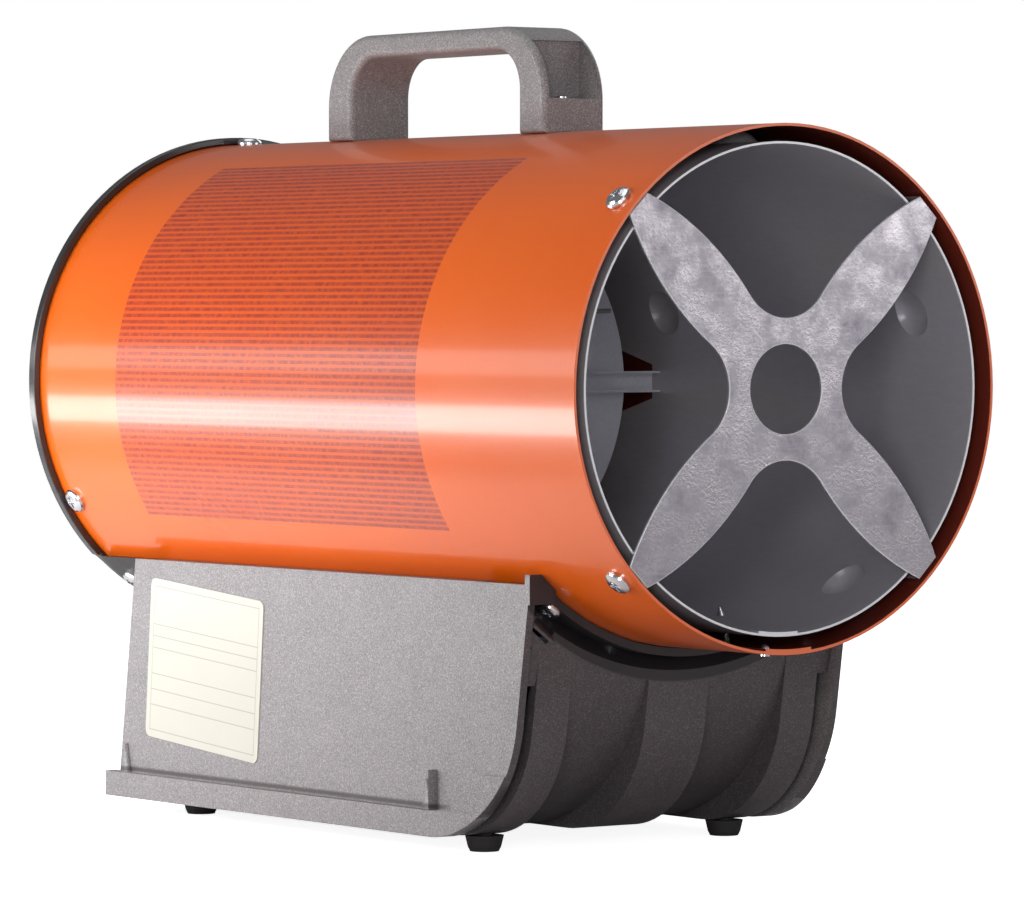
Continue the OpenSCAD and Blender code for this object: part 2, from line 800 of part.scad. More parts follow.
// Brass nozzle on the pipe's end, in the cup's mouth
module gas_injector() {
  injector_y = disc_y + disc_t + cup_gap + cup_len - cup_t - injector_hex_len;
  color([0.8, 0.65, 0.35]) difference() {
    union() {
      axis_rod(injector_d / 2, pipe_rise_y - pipe_bend_r - injector_y, injector_y);
      on_axis(injector_y + cup_t + injector_hex_len + seat_gap) lay_back()
        cylinder(h = injector_hex_len, d = injector_hex_d, $fn = 6);
    }
    axis_rod(injector_bore_d / 2, 2 * injector_hex_len + overrun, injector_y - overrun);
    axis_rod(pipe_d / 2 + run_gap, pipe_rise_y, injector_y + 2 * injector_hex_len);
  }
}

// Way of the gas pipe from the valve to the injector
function pipe_points() = let (y0 = front_y) [
  [0, y0 + valve_front_y, pipe_low_z],
  [0, y0 + pipe_rise_y, pipe_low_z],
  [0, y0 + pipe_rise_y, axis_h],
  [0, y0 + pipe_rise_y - pipe_bend_r - injector_hex_len / 2, axis_h]];

// Copper pipe from the valve through the drum's window to the burner
module gas_pipe() {
  color([0.75, 0.45, 0.3]) difference() {
    bent_rod(pipe_points(), pipe_d, pipe_bend_r);
    bent_rod(pipe_points(), pipe_d * pipe_bore_share, pipe_bend_r);
  }
}

// Union nut at the pipe's lower end
module pipe_nuts() {
  color([0.8, 0.65, 0.35]) on_axis(valve_front_y - seat_gap - nut_len)
    translate([0, 0, pipe_low_z - axis_h]) lay_back() difference() {
      cylinder(h = nut_len, d = nut_d, $fn = 6);
      translate([0, 0, -overrun]) cylinder(h = nut_len + 2 * overrun, d = pipe_d + 2 * run_gap);
    }
}

// Spark wire through the ceramic, bent outwards in front of the disc
module ignition_electrode() {
  bend_y = front_y + disc_y - ceramic_front - electrode_tip_len / 2;
  color([0.75, 0.74, 0.72]) bent_rod([
    [electrode_x, front_y + disc_y - ceramic_front + ceramic_len, axis_h + electrode_z],
    [electrode_x, bend_y, axis_h + electrode_z],
    [electrode_x + electrode_reach, bend_y, axis_h + electrode_z]],
    electrode_d, electrode_d);
}

// White ceramic with a collar that seats on the disc's back
module electrode_insulator() {
  color([0.92, 0.91, 0.87]) on_axis(disc_y - ceramic_front) translate([electrode_x, 0, electrode_z])
    lay_back() difference() {
      union() {
        cylinder(h = ceramic_len, d = ceramic_d);
        translate([0, 0, ceramic_front + disc_t + run_gap]) cylinder(h = collar_len, d = collar_d);
      }
      translate([0, 0, -overrun]) cylinder(h = ceramic_len + 2 * overrun, d = electrode_d + hole_gap);
    }
}

// Lead from the piezo igniter up to the electrode
module ignition_lead() {
  end_y = front_y + disc_y - ceramic_front + ceramic_len + seat_gap;
  rise_x = drum_window_w / 2 - lead_d;
  rise_y = front_y + drum_window_y + lead_d * 5;
  color([0.75, 0.2, 0.15]) bent_rod([
    [control_x, front_y + rear_panel_y - panel_t - piezo_len - seat_gap, upper_row_z],
    [control_x, rise_y, upper_row_z],
    [rise_x, rise_y, upper_row_z],
    [rise_x, rise_y, axis_h + electrode_z],
    [electrode_x, rise_y, axis_h + electrode_z],
    [electrode_x, end_y, axis_h + electrode_z]], lead_d, lead_bend_r);
}

// Flame probe through the disc, and its capillary down to the valve
module thermocouple() {
  rise_x = -drum_window_w / 2 + lead_d;
  rise_y = front_y + drum_window_y + lead_d * 5;
  color([0.7, 0.5, 0.35]) {
    on_axis(disc_y - probe_front) translate([-electrode_x, 0, electrode_z]) lay_back()
      cylinder(h = probe_len, d = probe_d);
    bent_rod([
      [-electrode_x, front_y + disc_y - probe_front + probe_len / 2, axis_h + electrode_z],
      [-electrode_x, rise_y, axis_h + electrode_z],
      [rise_x, rise_y, axis_h + electrode_z],
      [rise_x, rise_y, upper_row_z],
      [-valve_w / 4, rise_y, upper_row_z],
      [-valve_w / 4, front_y + valve_front_y - run_gap, upper_row_z]], capillary_d, lead_bend_r);
  }
}

// Heat limiter that touches the drum's underside, inside the base
module limit_thermostat() {
  color([0.75, 0.75, 0.77]) {
    translate([0, front_y + thermostat_y, axis_h - drum_r - thermostat_h])
      cylinder(h = thermostat_h, d = thermostat_d);
    for (side = [-1, 1])
      translate([side * thermostat_d / 4 - tag_t / 2, front_y + thermostat_y - tag_w / 2,
        axis_h - drum_r - thermostat_h - tag_len]) cube([tag_t, tag_w, tag_len + tag_t]);
  }
}

// Fan with pitched blades
module fan_impeller() {
  root_w = blade_chord * blade_root_share;
  color([0.72, 0.73, 0.75]) difference() {
    union() {
      axis_rod(fan_hub_r, fan_hub_len, fan_y);
      intersection() {
        for (i = [0:blade_count - 1]) on_axis(fan_y + fan_hub_len / 2)
          rotate([0, 360 / blade_count * i, 0]) rotate([90 - blade_angle, 0, 0])
            translate([0, 0, -blade_t / 2]) linear_extrude(blade_t)
              polygon([[shaft_r + fan_hub_r / 2, -root_w / 2], [fan_r / 2, -blade_chord / 2],
                [fan_d, -blade_chord / 2], [fan_d, blade_chord / 2],
                [fan_r / 2, blade_chord / 2], [shaft_r + fan_hub_r / 2, root_w / 2]]);
        axis_rod(fan_r, fan_d, fan_y - fan_r);
      }
    }
    axis_rod(shaft_r, fan_hub_len + fan_d, fan_y - fan_r);
  }
}

// Nut on the shaft's front end
module fan_nut() {
  color([0.8, 0.8, 0.82]) on_axis(fan_y - fan_nut_len - run_gap) lay_back() difference() {
    cylinder(h = fan_nut_len, d = fan_nut_d, $fn = 6);
    translate([0, 0, -overrun]) cylinder(h = fan_nut_len + 2 * overrun, r = shaft_r);
  }
}

// Motor shaft, carried in two bearings
module motor_shaft() {
  color([0.75, 0.75, 0.77])
    axis_rod(shaft_r - run_gap, motor_rear_y - fan_y + fan_nut_len - run_gap, fan_y - fan_nut_len + run_gap);
}

// Rotor core on the shaft
module motor_rotor() {
  color([0.5, 0.5, 0.52])
    axis_tube(rotor_d / 2 - rotor_air_gap, shaft_r, stack_len, motor_y + (motor_len - stack_len) / 2);
}

// Motor housing with a bearing boss in front
module motor_can() {
  color([0.3, 0.3, 0.32]) {
    axis_tube(motor_r, motor_r - can_t, motor_len, motor_y);
    axis_tube(motor_r, bearing_d / 2, can_t, motor_y);
    axis_tube(boss_d / 2, bearing_d / 2, boss_len + can_t, motor_y - boss_len);
  }
}

// Laminated ring with the windings
module motor_stator() {
  stator_r = motor_r - can_t - run_gap;
  color([0.6, 0.35, 0.2]) difference() {
    axis_tube(stator_r, rotor_d / 2, stack_len, motor_y + (motor_len - stack_len) / 2);
    for (angle = [0:60:300]) radial(angle, motor_y) translate([(stator_r + rotor_d / 2) / 2, 0, 0])
      lay_back() cylinder(h = motor_len, d = (stator_r - rotor_d / 2) / 2);
  }
}

// Rear cap of the motor, with its bearing seat
module motor_end_cap() {
  color([0.35, 0.35, 0.37]) difference() {
    union() {
      axis_tube(motor_r, bearing_d / 2, cap_t, motor_rear_y);
      axis_tube(boss_d / 2, bearing_d / 2, bearing_len, motor_rear_y - bearing_len + cap_t / 2);
    }
    motor_screw_holes();
  }
}

// Holes on the motor's bolt circle, through cap and bracket
module motor_screw_holes() {
  on_axis() for (angle = motor_screw_angles) rotate([0, -angle, 0])
    translate([motor_screw_pcd / 2, motor_rear_y - overrun, 0]) lay_back()
      cylinder(h = cap_t + bracket_t + 4 * overrun, d = small_screw_d + 2 * hole_gap);
}

// Two bushes that carry the shaft
module motor_bearings() {
  color([0.7, 0.6, 0.4]) {
    axis_tube(bearing_d / 2 - run_gap / 2, shaft_r, bearing_len, motor_y - boss_len + can_t / 2);
    axis_tube(bearing_d / 2 - run_gap / 2, shaft_r, bearing_len, motor_rear_y - bearing_len + cap_t / 2);
  }
}

// Three-armed bracket that holds the motor in the drum
module motor_bracket() {
  arm_end = drum_in_r - tab_gap;
  tab_end = guard_y - guard_spoke_step - seat_gap;
  color([0.55, 0.56, 0.58]) difference() {
    union() {
      axis_rod(bracket_hub_d / 2, bracket_t, bracket_y);
      for (angle = rear_screw_angles) radial(angle, bracket_y) {
        translate([0, 0, -bracket_arm_w / 2]) cube([arm_end - bracket_t, bracket_t, bracket_arm_w]);
        intersection() {
          translate([arm_end - 2 * bracket_t, 0, -bracket_arm_w / 2])
            cube([3 * bracket_t, tab_end - bracket_y, bracket_arm_w]);
          lay_back() difference() {
            cylinder(h = tab_end, r = arm_end);
            translate([0, 0, -overrun]) cylinder(h = tab_end + 2 * overrun, r = arm_end - bracket_t);
          }
        }
      }
    }
    axis_rod(bracket_hole_d / 2, bracket_t + 2 * overrun, bracket_y - overrun);
    motor_screw_holes();
    for (angle = rear_screw_angles)
      radial_hole(angle, rear_screw_y, screw_d + hole_gap, drum_r / 2, drum_r);
  }
}

// Screws that hold the motor to its bracket
module motor_screws() {
  color([0.8, 0.8, 0.82]) on_axis() for (angle = motor_screw_angles) rotate([0, -angle, 0])
    translate([motor_screw_pcd / 2, bracket_y + bracket_t + run_gap, 0]) rotate([0, 0, 90])
      pan_screw(small_screw_head_d, screw_head_h, small_screw_d, bracket_t + cap_t + seat_gap);
}

// Screws through the drum into the bracket's tabs
module rear_screws() {
  color([0.82, 0.82, 0.84]) for (angle = rear_screw_angles)
    radial(angle, rear_screw_y) translate([drum_r + run_gap, 0, 0])
      dome_screw(screw_head_d, screw_head_h, screw_d, drum_t + tab_gap + bracket_t + screw_head_h);
}

// Black ring that closes the drum's rear edge and traps the guard
module rear_ring() {
  lip_len = ring_len - ring_wall;
  color([0.1, 0.1, 0.11]) difference() {
    union() {
      axis_tube(ring_r, drum_r + seat_gap, lip_len, ring_y);
      axis_tube(ring_r, ring_bore_d / 2, ring_wall, ring_y + lip_len);
    }
    difference() {
      on_axis(ring_y - overrun) translate([-ring_d, 0, -ring_d - saddle_cut_z()])
        cube([2 * ring_d, ring_len + 2 * overrun, ring_d]);
      axis_rod(ring_r - ring_step, ring_len + 4 * overrun, ring_y - 2 * overrun);
    }
  }
}

// Depth below the axis at which saddles and covers end
function saddle_cut_z() = axis_h - base_top_z;

// Wire guard over the fan: rings, with spokes across their front
module rear_guard() {
  ring_count = floor((guard_r - guard_inner_r) / guard_pitch);
  color([0.12, 0.12, 0.13]) {
    for (i = [0:ring_count])
      guard_ring(i == ring_count ? guard_r : guard_inner_r + i * guard_pitch);
    for (angle = [0:360 / guard_spokes:359])
      radial(angle, guard_y - guard_spoke_step) translate([guard_inner_r, 0, -guard_wire_d / 2])
        cube([guard_r - guard_inner_r, guard_wire_d, guard_wire_d]);
  }
}

// One square wire bent to a ring
module guard_ring(r) {
  axis_tube(r + guard_wire_d / 2, r - guard_wire_d / 2, guard_wire_d, guard_y);
}

// Side outline of the handle, as a solid of a given width and inset
module handle_outline(w, inset, corner, drop) {
  z_top = axis_h + drum_r + handle_h - inset;
  z_low = axis_h + drum_r - handle_saddle - drop;
  y0 = front_y + handle_y + inset;
  y1 = y0 + handle_len - 2 * inset;
  translate([-w / 2, 0, 0]) {
    translate([0, y0, z_low]) cube([w, y1 - y0, z_top - corner - z_low]);
    translate([0, y0 + corner, z_low]) cube([w, y1 - y0 - 2 * corner, z_top - z_low]);
    for (y = [y0 + corner, y1 - corner])
      translate([0, y, z_top - corner]) rotate([0, 90, 0]) cylinder(h = w, r = corner);
  }
}

// Opening for the hand
module handle_opening() {
  z_top = axis_h + drum_r + handle_h - grip_t;
  y0 = front_y + handle_y + handle_leg_len;
  y1 = front_y + handle_y + handle_len - handle_leg_len;
  z_low = axis_h;
  translate([-handle_w, 0, 0]) {
    translate([0, y0, z_low]) cube([2 * handle_w, y1 - y0, z_top - handle_inner_r - z_low]);
    translate([0, y0 + handle_inner_r, z_low])
      cube([2 * handle_w, y1 - y0 - 2 * handle_inner_r, z_top - z_low]);
    for (y = [y0 + handle_inner_r, y1 - handle_inner_r])
      translate([0, y, z_top - handle_inner_r]) rotate([0, 90, 0])
        cylinder(h = 2 * handle_w, r = handle_inner_r);
  }
}

// Recess moulded into each leg's outer face
module handle_recesses() {
  recess_w = handle_w - 2 * handle_recess_wall;
  recess_low = axis_h + drum_r + handle_h * recess_low_share;
  recess_high = axis_h + drum_r + handle_h * recess_high_share;
  for (end = [0, 1])
    translate([-recess_w / 2, front_y + handle_y - overrun
      + end * (handle_len + 2 * overrun - handle_recess_depth - overrun), recess_low])
      cube([recess_w, handle_recess_depth + overrun, recess_high - recess_low]);
}
recess_low_share = 0.31;
recess_high_share = 0.86;

// Moulded carrying handle that sits on the drum
module carry_handle() {
  color([0.3, 0.28, 0.29]) difference() {
    handle_outline(handle_w, 0, handle_corner_r, 0);
    handle_opening();
    handle_recesses();
    axis_rod(drum_r + handle_clear, total_len, 0);
    for (d = handle_screw_ys())
      radial_hole(90, d, handle_screw_d + hole_gap, drum_r / 2, drum_r + handle_boss_depth);
  }
}

// Screws from the drum up into the handle's legs
module handle_screws() {
  head_seat = sqrt(drum_in_r * drum_in_r - handle_head_d * handle_head_d / 4) - run_gap;
  color([0.8, 0.8, 0.82]) for (d = handle_screw_ys())
    radial(90, d) translate([head_seat, 0, 0]) mirror([1, 0, 0])
      pan_screw(handle_head_d, handle_head_h, handle_screw_d,
        drum_r - head_seat + handle_boss_depth - overrun);
}

// Solid with the base's leaning front, round corner and floor, between two planes in x
module base_solid(x0, x1, inset, corner, floor_rise, rear_y, top_z) {
  cz = base_bottom_z + floor_rise + corner;
  cy = front_y + base_y + (base_top_z - cz) * tan(front_lean) + (inset + corner) / cos(front_lean);
  top_y = cy - (corner / cos(front_lean)) - (top_z - cz) * tan(front_lean);
  tangent = [cy - corner * cos(front_lean), cz - corner * sin(front_lean)];
  translate([x0, 0, 0]) {
    rotate([90, 0, 90]) linear_extrude(x1 - x0)
      polygon([tangent, [cy, cz], [cy, cz - corner], [front_y + rear_y, cz - corner],
        [front_y + rear_y, top_z], [top_y, top_z]]);
    intersection() {
      translate([0, cy, cz]) rotate([0, 90, 0]) cylinder(h = x1 - x0, r = corner);
      translate([0, cy - corner, cz - corner]) cube([x1 - x0, corner, corner]);
    }
  }
}

// Outer and inner x of a side rib
function rib_outer_x() = inner_x - groove_w;
function rib_inner_x() = rib_outer_x() - rib_side_w;

// Saddle: part of a tube under the drum, between two distances
module saddle(y0, y1) {
  intersection() {
    axis_tube(saddle_r + saddle_t, saddle_r, y1 - y0, y0);
    on_axis(y0) translate([-inner_x, 0, -drum_d]) cube([2 * inner_x, y1 - y0, drum_d - saddle_cut_z() - seat_gap]);
  }
}

// Shell: ribbed front wall, floor and front saddle
module base_shell() {
  rear = rear_panel_y + rear_floor_lip;
  cavity_rear = rear + 2 * overrun;
  top = base_top_z - seat_gap;
  mid = rib_mid_w / 2;
  flush_z = base_top_z - front_flush_h;
  tall = axis_h;
  color([0.27, 0.26, 0.27]) difference() {
    union() {
      difference() {
        union() {
          base_solid(-inner_x, inner_x, front_inset, valley_corner_r, 0, rear, top);
          for (x = [[-rib_outer_x(), -rib_inner_x()], [-mid, mid], [rib_inner_x(), rib_outer_x()]])
            base_solid(x[0], x[1], front_inset, base_corner_r - front_inset, 0, rear, top);
        }
        base_solid(-inner_x - overrun, inner_x + overrun, front_inset + shell_t,
          valley_corner_r - shell_t, shell_t, cavity_rear, tall);
        for (x = [[-rib_outer_x(), -rib_inner_x()], [-mid, mid], [rib_inner_x(), rib_outer_x()]])
          base_solid(x[0] + shell_t, x[1] - shell_t, front_inset + shell_t,
            base_corner_r - front_inset - shell_t, shell_t, cavity_rear, tall);
        for (side = [0, 1]) mirror([side, 0, 0]) side_groove(flush_z);
        scoop_cut(0);
      }
      difference() {
        intersection() {
          scoop_cut(saddle_t);
          base_solid(-inner_x, inner_x, front_inset, base_corner_r, 0, base_y + saddle_front_len + scoop_len, top);
        }
        scoop_cut(0);
      }
      saddle(base_y + tab_t + seat_gap, base_y + saddle_front_len);
    }
    axis_rod(saddle_r, total_len, 0);
    for (angle = saddle_screw_angles) {
      radial_hole(angle, saddle_screw_front_y, screw_d + hole_gap, drum_r / 2, drum_r + 2 * scoop_h);
      radial_hole(angle, saddle_screw_front_y, screw_head_d + hole_gap, saddle_r + saddle_t, drum_r + scoop_h);
      radial(angle, saddle_screw_front_y) translate([saddle_r + saddle_t, -scoop_len, -screw_head_d / 2])
        cube([scoop_h, scoop_len, screw_head_d]);
    }
    for (angle = liner_screw_angles)
      radial_hole(angle, liner_screw_y, small_screw_head_d + 2 * seat_gap, drum_r / 2, drum_r + scoop_h);
    for (x = [-foot_spacing / 2, foot_spacing / 2], y = [foot_front_y, foot_rear_y])
      translate([x, front_y + y, 0]) cylinder(h = foot_h + 2 * shell_t, d = foot_stem_d + hole_gap);
    for (x = [-foot_spacing / 2, foot_spacing / 2], y = [foot_front_y, foot_rear_y])
      translate([x, front_y + y, base_bottom_z + shell_t]) cylinder(h = 3 * shell_t, d = foot_barb_d + 2 * hole_gap);
    base_screw_places() {
      cylinder(h = foot_h + shell_t, d = small_screw_d + 2 * hole_gap);
      translate([0, 0, base_bottom_z - overrun])
        cylinder(h = flat_head_h + overrun + run_gap, d1 = small_screw_head_d + 2 * overrun + 2 * hole_gap,
          d2 = small_screw_d + 2 * hole_gap);
    }
  }
}
rear_floor_lip = 14;

// Groove beside each outer rib, below the front wall's flush top
module side_groove(flush_z) {
  intersection() {
    difference() {
      base_solid(rib_outer_x(), inner_x + overrun, 0, base_corner_r, -overrun, base_y + 3 * base_corner_r, flush_z);
      base_solid(rib_outer_x() - overrun, inner_x + 2 * overrun, front_inset + groove_depth,
        base_corner_r - front_inset - groove_depth, 0, base_y + 4 * base_corner_r, axis_h);
    }
    translate([0, front_y, -overrun]) cube([base_w, base_y + base_corner_r + front_inset, flush_z + overrun]);
  }
}

// Cone round the drum's axis that scoops the front wall's top edge
module scoop_cut(grow) {
  on_axis(base_y - scoop_len) lay_back()
    cylinder(h = 2 * scoop_len + front_inset + grow, r1 = saddle_r + scoop_h * 2 + grow, r2 = saddle_r + saddle_t / 2 + grow);
}

// Places of the screws that come up through the floor
module base_screw_places() {
  for (side = [-1, 1], y = base_screw_ys) translate([side * base_screw_x, front_y + y, 0]) children();
  for (side = [-1, 1]) translate([side * rear_screw_x, front_y + rear_panel_y - panel_t - flange_w / 2, 0])
    children();
}

// Cover on one side, drawn for +X
module side_cover() {
  floor_z = base_bottom_z + shell_t + run_gap;
  difference() {
    union() {
      difference() {
        base_solid(side_x - side_t, side_x, 0, base_corner_r, 0, base_rear_y + base_h, base_top_z);
        translate([0, front_y + base_rear_y, base_top_z]) rotate([rear_lean, 0, 0])
          translate([0, 0, -2 * base_h]) cube([base_w, 2 * base_h, 3 * base_h]);
      }
      // rail along the foot and up the front corner, with gussets
      intersection() {
        difference() {
          base_solid(side_x - overrun, side_x + rail_out, 0, base_corner_r, 0, rail_rear_y, base_bottom_z + base_corner_r);
          base_solid(side_x - 2 * overrun, side_x + rail_out + overrun, rail_h, base_corner_r - rail_h, rail_h,
            rail_rear_y + overrun, base_top_z);
        }
        translate([0, front_y, base_bottom_z]) linear_extrude(rail_rise)
          polygon([[side_x - overrun, base_y + rail_start], [side_x, base_y + rail_start],
            [side_x + rail_out, rail_front_y], [side_x + rail_out, rail_rear_y], [side_x - overrun, rail_rear_y]]);
      }
      for (y = gusset_ys) translate([side_x - overrun, front_y + y - gusset_w / 2, base_bottom_z + rail_h])
        rotate([90, 0, 90]) linear_extrude(rail_out / 2 + overrun)
          polygon([[0, 0], [gusset_w, 0], [gusset_w / 2, gusset_h]]);
      // lip that closes the top between the saddles
      translate([side_x - side_lip_w, front_y + base_y + saddle_front_len + scoop_len, base_top_z - side_lip_t])
        cube([side_lip_w - overrun, saddle_rear_y - base_y - saddle_front_len - scoop_len - overrun, side_lip_t]);
      // tab that wraps round the front corner
      translate([side_x - tab_w, front_y + base_y, base_top_z - tab_drop])
        cube([tab_w, tab_t, tab_drop + tab_h]);
      // flange that stands on the shell's floor
      translate([inner_x - flange_w, front_y + base_screw_ys[0] - flange_w, floor_z])
        cube([flange_w + side_t, base_screw_ys[2] - base_screw_ys[0] + 1.5 * flange_w, flange_t]);
    }
    axis_rod(drum_r + seat_gap, total_len, 0);
    base_screw_places() cylinder(h = foot_h + shell_t + flange_t + overrun, d = small_screw_d + hole_gap);
  }
}

// Left cover, on the side that carries the plate
module left_cover() {
  color([0.62, 0.6, 0.61]) mirror([1, 0, 0]) side_cover();
}

// Right cover
module right_cover() {
  color([0.62, 0.6, 0.61]) side_cover();
}

// Rear panel with the rear saddle and the controls' holes
module rear_panel() {
  floor_z = base_bottom_z + shell_t + run_gap;
  y_out = front_y + rear_panel_y;
  color([0.25, 0.24, 0.25]) difference() {
    union() {
      translate([-inner_x, y_out - panel_t, floor_z])
        cube([2 * inner_x, panel_t, base_top_z - seat_gap - floor_z]);
      translate([-rear_screw_x - flange_w, y_out - flange_w - panel_t, floor_z])
        cube([flange_w * 2, flange_w + overrun, flange_t]);
      translate([rear_screw_x - flange_w, y_out - flange_w - panel_t, floor_z])
        cube([flange_w * 2, flange_w + overrun, flange_t]);
      saddle(saddle_rear_y, saddle_rear_end);
    }
    axis_rod(saddle_r, total_len, 0);
    for (angle = saddle_screw_angles)
      radial_hole(angle, saddle_screw_rear_y, screw_d + hole_gap, drum_r / 2, drum_r + 2 * scoop_h);
    base_screw_places() cylinder(h = foot_h + shell_t + flange_t + overrun, d = small_screw_d + hole_gap);
    control_hole(0, upper_row_z, stem_d + 2 * hole_gap);
    control_hole(0, lower_row_z, spindle_d + 2 * hole_gap);
    control_hole(control_x, upper_row_z, stem_d + 2 * hole_gap);
    control_hole(control_x, lower_row_z, bulkhead_d + 2 * hole_gap);
    control_hole(-control_x, lower_row_z, gland_d + 2 * hole_gap);
    translate([-control_x - switch_w / 2 + switch_flange, y_out - panel_t - overrun,
      upper_row_z - switch_h / 2 + switch_flange])
      cube([switch_w - 2 * switch_flange, panel_t + 2 * overrun, switch_h - 2 * switch_flange]);
  }
}

// Round hole through the rear panel
module control_hole(x, z, d) {
  translate([x, front_y + rear_panel_y - panel_t - overrun, z]) lay_back()
    cylinder(h = panel_t + 2 * overrun, d = d);
}

// Screws through both saddles into the drum
module saddle_screws() {
  seat_r = saddle_r + saddle_t + run_gap;
  color([0.86, 0.86, 0.88]) for (angle = saddle_screw_angles, d = [saddle_screw_front_y, saddle_screw_rear_y])
    radial(angle, d) translate([seat_r, 0, 0])
      dome_screw(screw_head_d - screw_slot_w, screw_head_h, screw_d, seat_r - liner_r - seat_gap * 2);
}

// Screws up through the floor
module base_screws() {
  color([0.8, 0.8, 0.82]) base_screw_places() translate([0, 0, base_bottom_z])
    rotate([0, 90, 0]) flat_screw(small_screw_head_d, flat_head_h, small_screw_d, shell_t + flange_t);
}

// Rubber feet with a barbed stem through the floor
module rubber_feet() {
  color([0.08, 0.08, 0.08])
    for (x = [-foot_spacing / 2, foot_spacing / 2], y = [foot_front_y, foot_rear_y])
      translate([x, front_y + y, 0]) {
        translate([0, 0, foot_round]) cylinder(h = foot_h - foot_round, r1 = foot_d / 2 - foot_taper, r2 = foot_d / 2);
        cylinder(h = foot_round, r1 = foot_d / 2 - foot_taper - foot_round / 2, r2 = foot_d / 2 - foot_taper);
        cylinder(h = foot_h + 3 * shell_t, d = foot_stem_d);
        translate([0, 0, foot_h + shell_t + run_gap]) cylinder(h = shell_t, d1 = foot_barb_d, d2 = foot_stem_d);
      }
}

// Blank plate with round corners on the left cover
module rating_plate() {
  hl = plate_len / 2 - plate_corner_r;
  hh = plate_h / 2 - plate_corner_r;
  color([0.93, 0.93, 0.88]) translate([-side_x - plate_t, front_y + plate_y, plate_z])
    rotate([plate_angle, 0, 0]) rotate([90, 0, 90]) {
      linear_extrude(plate_t) square([2 * hl, 2 * hh + 2 * plate_corner_r], center = true);
      linear_extrude(plate_t) square([2 * hl + 2 * plate_corner_r, 2 * hh], center = true);
      for (y = [-hl, hl], z = [-hh, hh]) translate([y, z, 0]) cylinder(h = plate_t, r = plate_corner_r);
    }
}

// Valve block, bored for the button and the spindle
module gas_valve() {
  y1 = front_y + rear_panel_y - panel_t - seat_gap;
  y0 = front_y + valve_front_y;
  color([0.7, 0.68, 0.62]) difference() {
    translate([-valve_w / 2, y0, valve_z]) cube([valve_w, y1 - y0, valve_h]);
    translate([0, y1 - valve_bore_depth, upper_row_z]) lay_back()
      cylinder(h = valve_bore_depth + overrun, d = stem_d + 2 * stem_run);
    translate([0, y1 - valve_bore_depth, lower_row_z]) lay_back()
      cylinder(h = valve_bore_depth + overrun, d = spindle_d + 2 * stem_run);
  }
}

// Push button: round cap outside the panel, stem in a bore
module push_button(x, cap_d, travel, stem_end_y) {
  cap_y = rear_panel_y + travel + button_gap;
  translate([x, front_y, upper_row_z]) {
    translate([0, cap_y, 0]) lay_back() cylinder(h = button_len, d = cap_d);
    translate([0, stem_end_y, 0]) lay_back() cylinder(h = cap_y - stem_end_y + overrun, d = stem_d);
  }
}

// Distance to the bottom of each button's bore
function gas_bore_y() = rear_panel_y - panel_t - seat_gap - valve_bore_depth;
function piezo_bore_y() = rear_panel_y - panel_t - seat_gap - piezo_bore_depth;

// Button that opens the gas
module gas_button() {
  color([0.12, 0.12, 0.13])
    push_button(0, gas_button_d, gas_button_travel, gas_bore_y() + gas_button_travel + 3 * spring_gap);
}

// Spring behind a button's stem: one tube along a helix
module coil_spring(x, y0, len) {
  steps = spring_turns * spring_rings;
  coil_r = stem_d / 2 - spring_wire_d;
  pitch_y = (len - 2 * spring_wire_d) / steps;
  ring = [for (j = [0:spring_sides - 1]) 360 / spring_sides * j];
  points = [for (i = [0:steps]) for (a = ring)
    let (turn = 360 / spring_rings * i, r = coil_r + spring_wire_d / 2 * cos(a))
    [x + r * cos(turn), front_y + y0 + spring_wire_d + pitch_y * i + spring_wire_d / 2 * sin(a),
      upper_row_z + r * sin(turn)]];
  walls = [for (i = [0:steps - 1]) for (j = [0:spring_sides - 1])
    let (k = (j + 1) % spring_sides, p = i * spring_sides, q = p + spring_sides)
    each [[p + j, q + j, q + k], [p + j, q + k, p + k]]];
  last = steps * spring_sides;
  caps = [for (j = [1:spring_sides - 2]) each [[0, j, j + 1], [last, last + j + 1, last + j]]];
  polyhedron(points = points, faces = concat(walls, caps));
}

// Spring of the gas button
module gas_button_spring() {
  color([0.8, 0.8, 0.82]) coil_spring(0, gas_bore_y(), gas_button_travel + 3 * spring_gap - run_gap);
}

// Knob that sets the heat, on its spindle
module output_knob() {
  knob_y = front_y + rear_panel_y + seat_gap;
  color([0.1, 0.1, 0.11]) translate([0, 0, lower_row_z]) {
    difference() {
      translate([0, knob_y, 0]) lay_back() cylinder(h = knob_len - knob_grip_h, d = knob_d);
      for (i = [0:knob_flutes - 1]) translate([0, knob_y, 0]) rotate([0, i * 360 / knob_flutes, 0])
        translate([knob_d / 2 + flute_d / 4, -overrun, 0]) lay_back() cylinder(h = knob_len, d = flute_d);
    }
    translate([-knob_grip_w / 2, knob_y + knob_len - knob_grip_h - overrun, -knob_d / 2 + flute_d])
      cube([knob_grip_w, knob_grip_h + overrun, knob_d - 2 * flute_d]);
    translate([0, front_y + gas_bore_y() + seat_gap, 0]) lay_back()
      cylinder(h = rear_panel_y + seat_gap - gas_bore_y() - seat_gap + overrun, d = spindle_d);
  }
}

